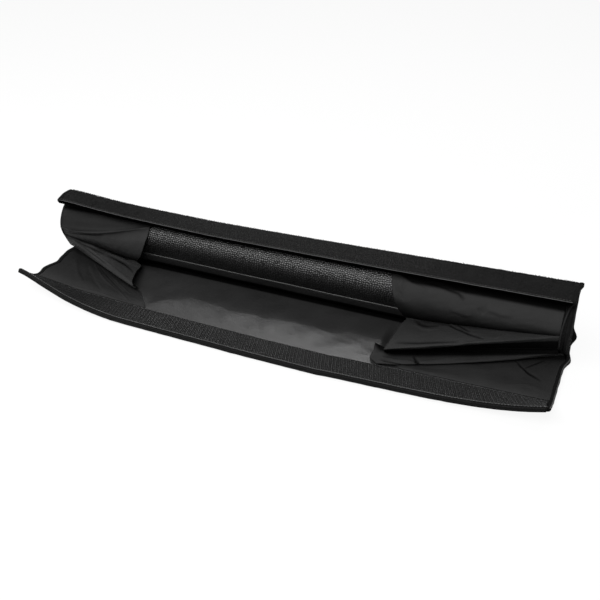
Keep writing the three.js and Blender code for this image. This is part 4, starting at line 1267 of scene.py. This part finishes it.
RIGHT_CREASES = [
    (3, 1.2, 0.4, 0.93, 1.2, 0.95, 2.2, 0.95),
    (3, -1.2, 1, 0.98, 1.9, 0.97, 3.2, 0.94),
    (3, -1, 0.5, 0.91, 0.7, 0.85, 1, 0.8, 1.3, 0.76),
    (2.4, -0.9, 0.5, 0.8, 0.5, 0.73, 0.8, 0.66, 1, 0.6, 1.7, 0.56),
    (2.5, 0.9, 0.2, 0.78, 0.2, 0.69, 0.6, 0.61),
    (6, 1.5, 3.1, 0.66, 3.5, 0.59, 3.7, 0.52),
    (6, 1.5, 2.2, 0.43, 2.6, 0.35, 2.6, 0.28),
    (5, -1.2, 2.4, 0.48, 3.2, 0.45),
    (2.5, 1, 7.7, 0.92, 8.3, 0.85, 8.4, 0.79, 8.2, 0.72),
    (2.5, -0.8, 7.1, 0.95, 7.8, 0.88, 8, 0.81, 7.7, 0.75),
    (1.9, -1, 7.2, 0.78, 7.4, 0.7, 8.3, 0.6, 9.1, 0.51, 9.8, 0.43),
    (1.8, -1, 5.7, 0.7, 6.7, 0.66, 7.9, 0.59, 8.5, 0.54),
    (1.2, 0.7, 6.2, 0.73, 7.5, 0.66, 8.5, 0.56),
    (3, 1.5, 9.8, 0.37, 8.7, 0.31, 7.7, 0.28),
    (2, -0.8, 9.7, 0.96, 9.9, 0.82, 9.9, 0.69, 9.9, 0.58),
    (1.5, 0.8, 12.7, 0.99, 12.7, 0.77, 10.4, 0.49, 10.7, 0.25, 9.9, 0.02),
    (2, -2.5, 18.5, 0.76, 19.4, 0.75, 21.7, 0.79),
    (2, 1.2, 19, 0.94, 19.7, 0.86, 19.6, 0.78),
    (1.7, -2, 19.7, 0.95, 20.5, 0.89, 22, 0.85),
    (2, 1, 19.9, 0.73, 19.6, 0.65, 19, 0.53),
    (1.9, -1, 23.5, 0.28, 24.7, 0.24, 25.5, 0.18, 26.2, 0.08),
    (1.5, 0.5, 24.3, 0.27, 25.1, 0.22, 25.8, 0.16),
    (1.8, -1, 25, 0.21, 24.4, 0.15, 23.4, 0.09),
    (3, 0.9, 27.3, 0.32, 26.8, 0.18, 27.2, 0.03),
]
LEFT_RAGGED = ((0, 9, 10, 11.5, 12.6, 13.4, 14.2, 15.2, 16.2, 19), (0, 0, 4, -2, -5, 0, -3, 3, 1, 0))
RIGHT_RAGGED = ((0, 15, 16, 17, 18, 19, 20, 21, 24), (0, 0, 1, 1, -2, 0, -2, 1, 0))
RIGHT_FLARE = ((0, 15.6, 17.2, 18.6, 24), (0, 0, 8, 0, 0))
# Painted shade row by row: under the roof's edge, on the shaded face, and in the hollows under the pleats.
LEFT_ROW_SHADE = (
    (0, 0.7, 1.0, 4.0, 4.5, 7.6, 8.6, 9.4, 9.8, 15.6, 17, 18.4, 19.2, 22, 23),
    (0.95, 0.95, 0.45, 0.4, 0, 0, 0.8, 0.8, 0, 0, 0.9, 0.9, 0.65, 0.35, 0.05),
)
RIGHT_ROW_SHADE = (
    (0, 0.7, 1.0, 3.6, 5.0, 6.2, 7, 7.8, 12.3, 13, 18.3, 18.9, 21.6, 22.4, 23.4, 24.4, 27, 28),
    (0.95, 0.95, 0, 0, 0.55, 0.85, 0.9, 0, 0, 0.95, 0.95, 0, 0, 0.9, 0.9, 0.3, 0.25, 0),
)


def sleeve(name, rows, creases, ragged, row_shade, length, seed, side, node, flare=((0, 1), (0, 0))):
    """A sleeve's sheet with its creases and a soft crumple, as a closed shell with a rolled edge.
    Row by row, ragged draws the free edge out or in along the sheet, flare lifts it, and the row
    shade lays painted shade into the folds."""
    points, row, s = through_rows(rows, SLEEVE_ROWS)
    a, b = u[None] * length, s[:, None]
    outward = np.gradient(points, axis=1)
    outward /= np.linalg.norm(outward, axis=2, keepdims=True)
    drawn_out = smooth((u - 0.9) / 0.1)[None] * np.interp(row, *ragged)[:, None]
    points = points + outward * drawn_out[..., None]
    points[..., 2] += smooth((u - 0.95) / 0.05)[None] * np.interp(row, *flare)[:, None]
    crumple = 0.45 * ripples(a, b, 30, seed, stretch=1.7)
    crumple += 0.15 * ripples(a, b, 9, seed + 1, stretch=2.0)
    sewn = smooth(u[None] / 0.06) * smooth(b / 8) * smooth((s[-1] - b) / 8)
    creased, painted_shade = press((points, row, s), creases, length)
    painted_shade = np.maximum(painted_shade, np.interp(row[:, None] + smooth((u[None] - 0.86) / 0.14), *row_shade))
    lift = sewn * crumple + creased
    middle = points + side * normals(points) * lift[..., None]
    half = 0.5 * SLEEVE - 0.05
    uv = np.stack(np.broadcast_arrays(a, b), -1)
    mesh = shell(name, raised(middle, half), raised(middle, -half), uv)
    piece = add_piece(paint_shade(mesh, [painted_shade, painted_shade]), thin_nylon, "thin_nylon", node)
    hem = cord(name + "_edge", middle[:, -1], 0.45, (0, 0, 1), 6, thin_nylon, "thin_nylon")
    runs = run_lengths(middle.transpose(1, 0, 2))[[0, SLEEVE_COLUMNS // 2, -1], -1]
    print(name, "run", np.round(runs, 1))
    return piece, hem


rows = sleeve_rows(left_x, 2 - HALF, -TAPE_INSIDE + GAP, **LEFT_ROWS)
cut = (rows, LEFT_CREASES, LEFT_RAGGED, LEFT_ROW_SHADE, LEFT_SLEEVE_LENGTH)
left_sleeve, left_hem = sleeve("left_sleeve", *cut, seed=81, side=1, node="left_end_sleeve")
rows = sleeve_rows(right_x, BOLSTER_END, TAPE_INSIDE + 1, **RIGHT_ROWS)
cut = (rows, RIGHT_CREASES, RIGHT_RAGGED, RIGHT_ROW_SHADE, RIGHT_SLEEVE_LENGTH)
right_sleeve, right_hem = sleeve(
    "right_sleeve", *cut, seed=91, side=-1, node="right_end_sleeve", flare=RIGHT_FLARE
)

# %% [markdown]
# Where a sleeve is sewn to the bolster's end, its turned hem stands up as a narrow rim. It shows
# at the right end as a light curved line with a darker band beside it.

# %% Rims round the bolster's ends
def rim(name, x, top, bottom, radius, lift, material, slot, lean=0.0):
    """A cord of cloth down the bolster's face at one place along the bar, leaning out at its top."""
    t = np.linspace(face_at(bottom), face_at(top), 90)
    path = face_point(x + lean * np.linspace(0, 1, 90) ** 3, t, lift)
    return cord(name, path, radius, (1, 0, 0), 10, material, slot)


right_rim = rim("right_sleeve_rim", BOLSTER_END + 0.6, 75.5, 22.0, 1.1, 1.4, thin_nylon, "thin_nylon", 5.0)
rim("right_end_rim", HALF - 3.4, 74.0, 10.0, 2.3, 0.2, end_wrap, "binding_tape")
left_rim = rim("left_sleeve_rim", -HALF + 2.6, 75.5, 16.0, 1.6, 1.2, thin_nylon, "thin_nylon")

# %% [markdown]
# Stitches are short pieces of thread that bulge between two holes. One stitch is modelled, and
# set down along every seam with its own small shift.

# %% Stitches along the seams
STITCH_PITCH = 3.4
thread_path = [(-1.15, -0.3), (-0.8, 0.1), (0, 0.22), (0.8, 0.1), (1.15, -0.3)]
stitch_shape, stitch_faces = bent_wire(thread_path, np.array([0.14, 0.26, 0.28, 0.26, 0.14]), 5)


def sew(name, seams, seed, thread=sewing_thread):
    """Stitches along seams, each seam a path on the cloth and the same path a little above it."""
    draw = np.random.default_rng(seed)
    spots, above, ahead = [], [], []
    for path, over in seams:
        far = run_lengths(path)
        stops = np.arange(2.0, far[-1] - 2.0, STITCH_PITCH)
        stops = stops + draw.normal(0, 0.12, stops.size)

        def at(line, where):
            """The points of a line at these distances along the seam."""
            return np.stack([np.interp(where, far, line[:, k]) for k in range(3)], 1)

        spots.append(at(path, stops))
        above.append(at(over, stops))
        ahead.append(at(path, stops + 0.5))
    spots, above, ahead = [np.concatenate(v) for v in (spots, above, ahead)]
    along, across, up = frames(spots, above, ahead)
    along, across = turned(along, across, draw.normal(0, 0.05, len(spots)))
    mesh = set_down(name, stitch_shape, stitch_faces, spots, along, across, up)
    return add_piece(mesh, thread, "binding_tape")


def back_point(x, z, h):
    """On the cover's back at a height z, h outside it."""
    return place(x, BACK_Y + h, z)


def seam(point_at, x, w, h):
    """A seam's path on the cloth, and the same path a millimetre above it."""
    return point_at(x, w, h), point_at(x, w, h + 1)


x = column(500)[:, 0]
flap_spots = [(HOOK_START + 0.9, HOOK_FOOT), (FLAP_END - 0.9, HOOK_FOOT)]
flap_spots.append((FLAP_END + 1.6, FRONT_BINDING_HEIGHT))
sew("flap_stitches", [seam(flap_point, x, w, h) for w, h in flap_spots], 101, bolster_wrap)
roof_spots = (RIDGE_RADIUS + 1.2, ROOF_REACH - 1.3)
sew("roof_stitches", [seam(roof_point, x, w, 0.1) for w in roof_spots], 102)
sew("back_stitches", [seam(back_point, x, z, 0.6) for z in BACK_SEAMS], 103)
x = column(500, BOLSTER_END - 3)[:, 0]
t = seam_at + seam_sway(x) - 0.022
sew("grip_stitches", [seam(face_point, x, t, 0.25)], 104)

# %% [markdown]
# The edge pieces, and each end's hem and rim, are gathered into lists.

# %% The trim pieces, gathered in lists
edges = [front_cord, roof_cord, left_tape, right_tape, left_tape_edge, right_tape_edge]
left_trim, right_trim = [left_hem, left_rim], [right_hem, right_rim]
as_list(left_trim)
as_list(right_trim)

# %% [markdown]
# The room is white. The floor keeps a faint shadow, the world is white to the camera and to
# reflections, and a large soft lamp above and behind makes the pale band on the lining: a satin
# cloth shows a light where the angle to the eye mirrors the angle to the lamp.

# %% Floor, world and lamps
FLOOR_HALF, FLOOR_Z = 4.0, -0.0004
corners = [(a * FLOOR_HALF, b * FLOOR_HALF, FLOOR_Z) for a, b in ((-1, -1), (1, -1), (1, 1), (-1, 1))]
floor_mesh = bpy.data.meshes.new("floor")
floor_mesh.from_pydata(corners, [], [(0, 1, 2, 3)])
floor = bpy.data.objects.new("floor", floor_mesh)
bpy.context.scene.collection.objects.link(floor)
floor_paint = bpy.data.materials.new("pale_floor")
floor_paint.use_nodes = True
tree = floor_paint.node_tree
surface = tree.nodes["Principled BSDF"]
fill(tree, surface, {"Base Color": (0.8, 0.8, 0.8, 1), "Roughness": 0.9})
white = add_node(tree, "ShaderNodeEmission", {"Color": (1, 1, 1, 1)})
rays = add_node(tree, "ShaderNodeLightPath").outputs
share = calc(tree, "MULTIPLY", rays["Is Camera Ray"], 0.9)
paint = add_node(tree, "ShaderNodeMixShader", [share, surface.outputs[0], white.outputs[0]])
fill(tree, tree.nodes["Material Output"], {"Surface": paint.outputs[0]})
floor_mesh.materials.append(floor_paint)
floor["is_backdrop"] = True

world = bpy.data.worlds.new("white_room")
bpy.context.scene.world = world
world.use_nodes = True
tree = world.node_tree
rays = add_node(tree, "ShaderNodeLightPath").outputs
seen = calc(tree, "MAXIMUM", rays["Is Camera Ray"], rays["Is Transmission Ray"])
seen = calc(tree, "MAXIMUM", seen, calc(tree, "MULTIPLY", rays["Is Glossy Ray"], 0.26))
room = {"Color": (1, 1, 1, 1), "Strength": remap(tree, seen, 0.0, 1.0, 0.3, 1.0)}
fill(tree, tree.nodes["Background"], room)


def softbox(name, spot, aim, width, height, power):
    """A large area lamp at a spot, facing an aim."""
    lamp = bpy.data.lights.new(name, "AREA")
    lamp.shape, lamp.size, lamp.size_y, lamp.energy = "RECTANGLE", width, height, power
    holder = bpy.data.objects.new(name, lamp)
    bpy.context.scene.collection.objects.link(holder)
    holder.location = spot
    holder.rotation_mode = "QUATERNION"
    holder.rotation_quaternion = (Vector(spot) - Vector(aim)).to_track_quat("Z", "Y")
    return holder


softbox("lamp_above_behind", (0.1, 0.75, 1.25), (0, -0.05, 0.02), 1.4, 0.55, 8.5)
softbox("lamp_above_front", (-0.45, -0.88, 1.25), (0, 0, 0.05), 2.4, 0.7, 43)
bpy.context.scene.view_settings.view_transform = "Standard"
print(len(made), "pieces,", sum(len(o.data.polygons) for o in made.values()), "faces")

# %% Last lines: sizes of the CAD model and of the scene
low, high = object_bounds()
{"cad": [list(cad_low), list(cad_high)], "visual": [list(low), list(high)]}
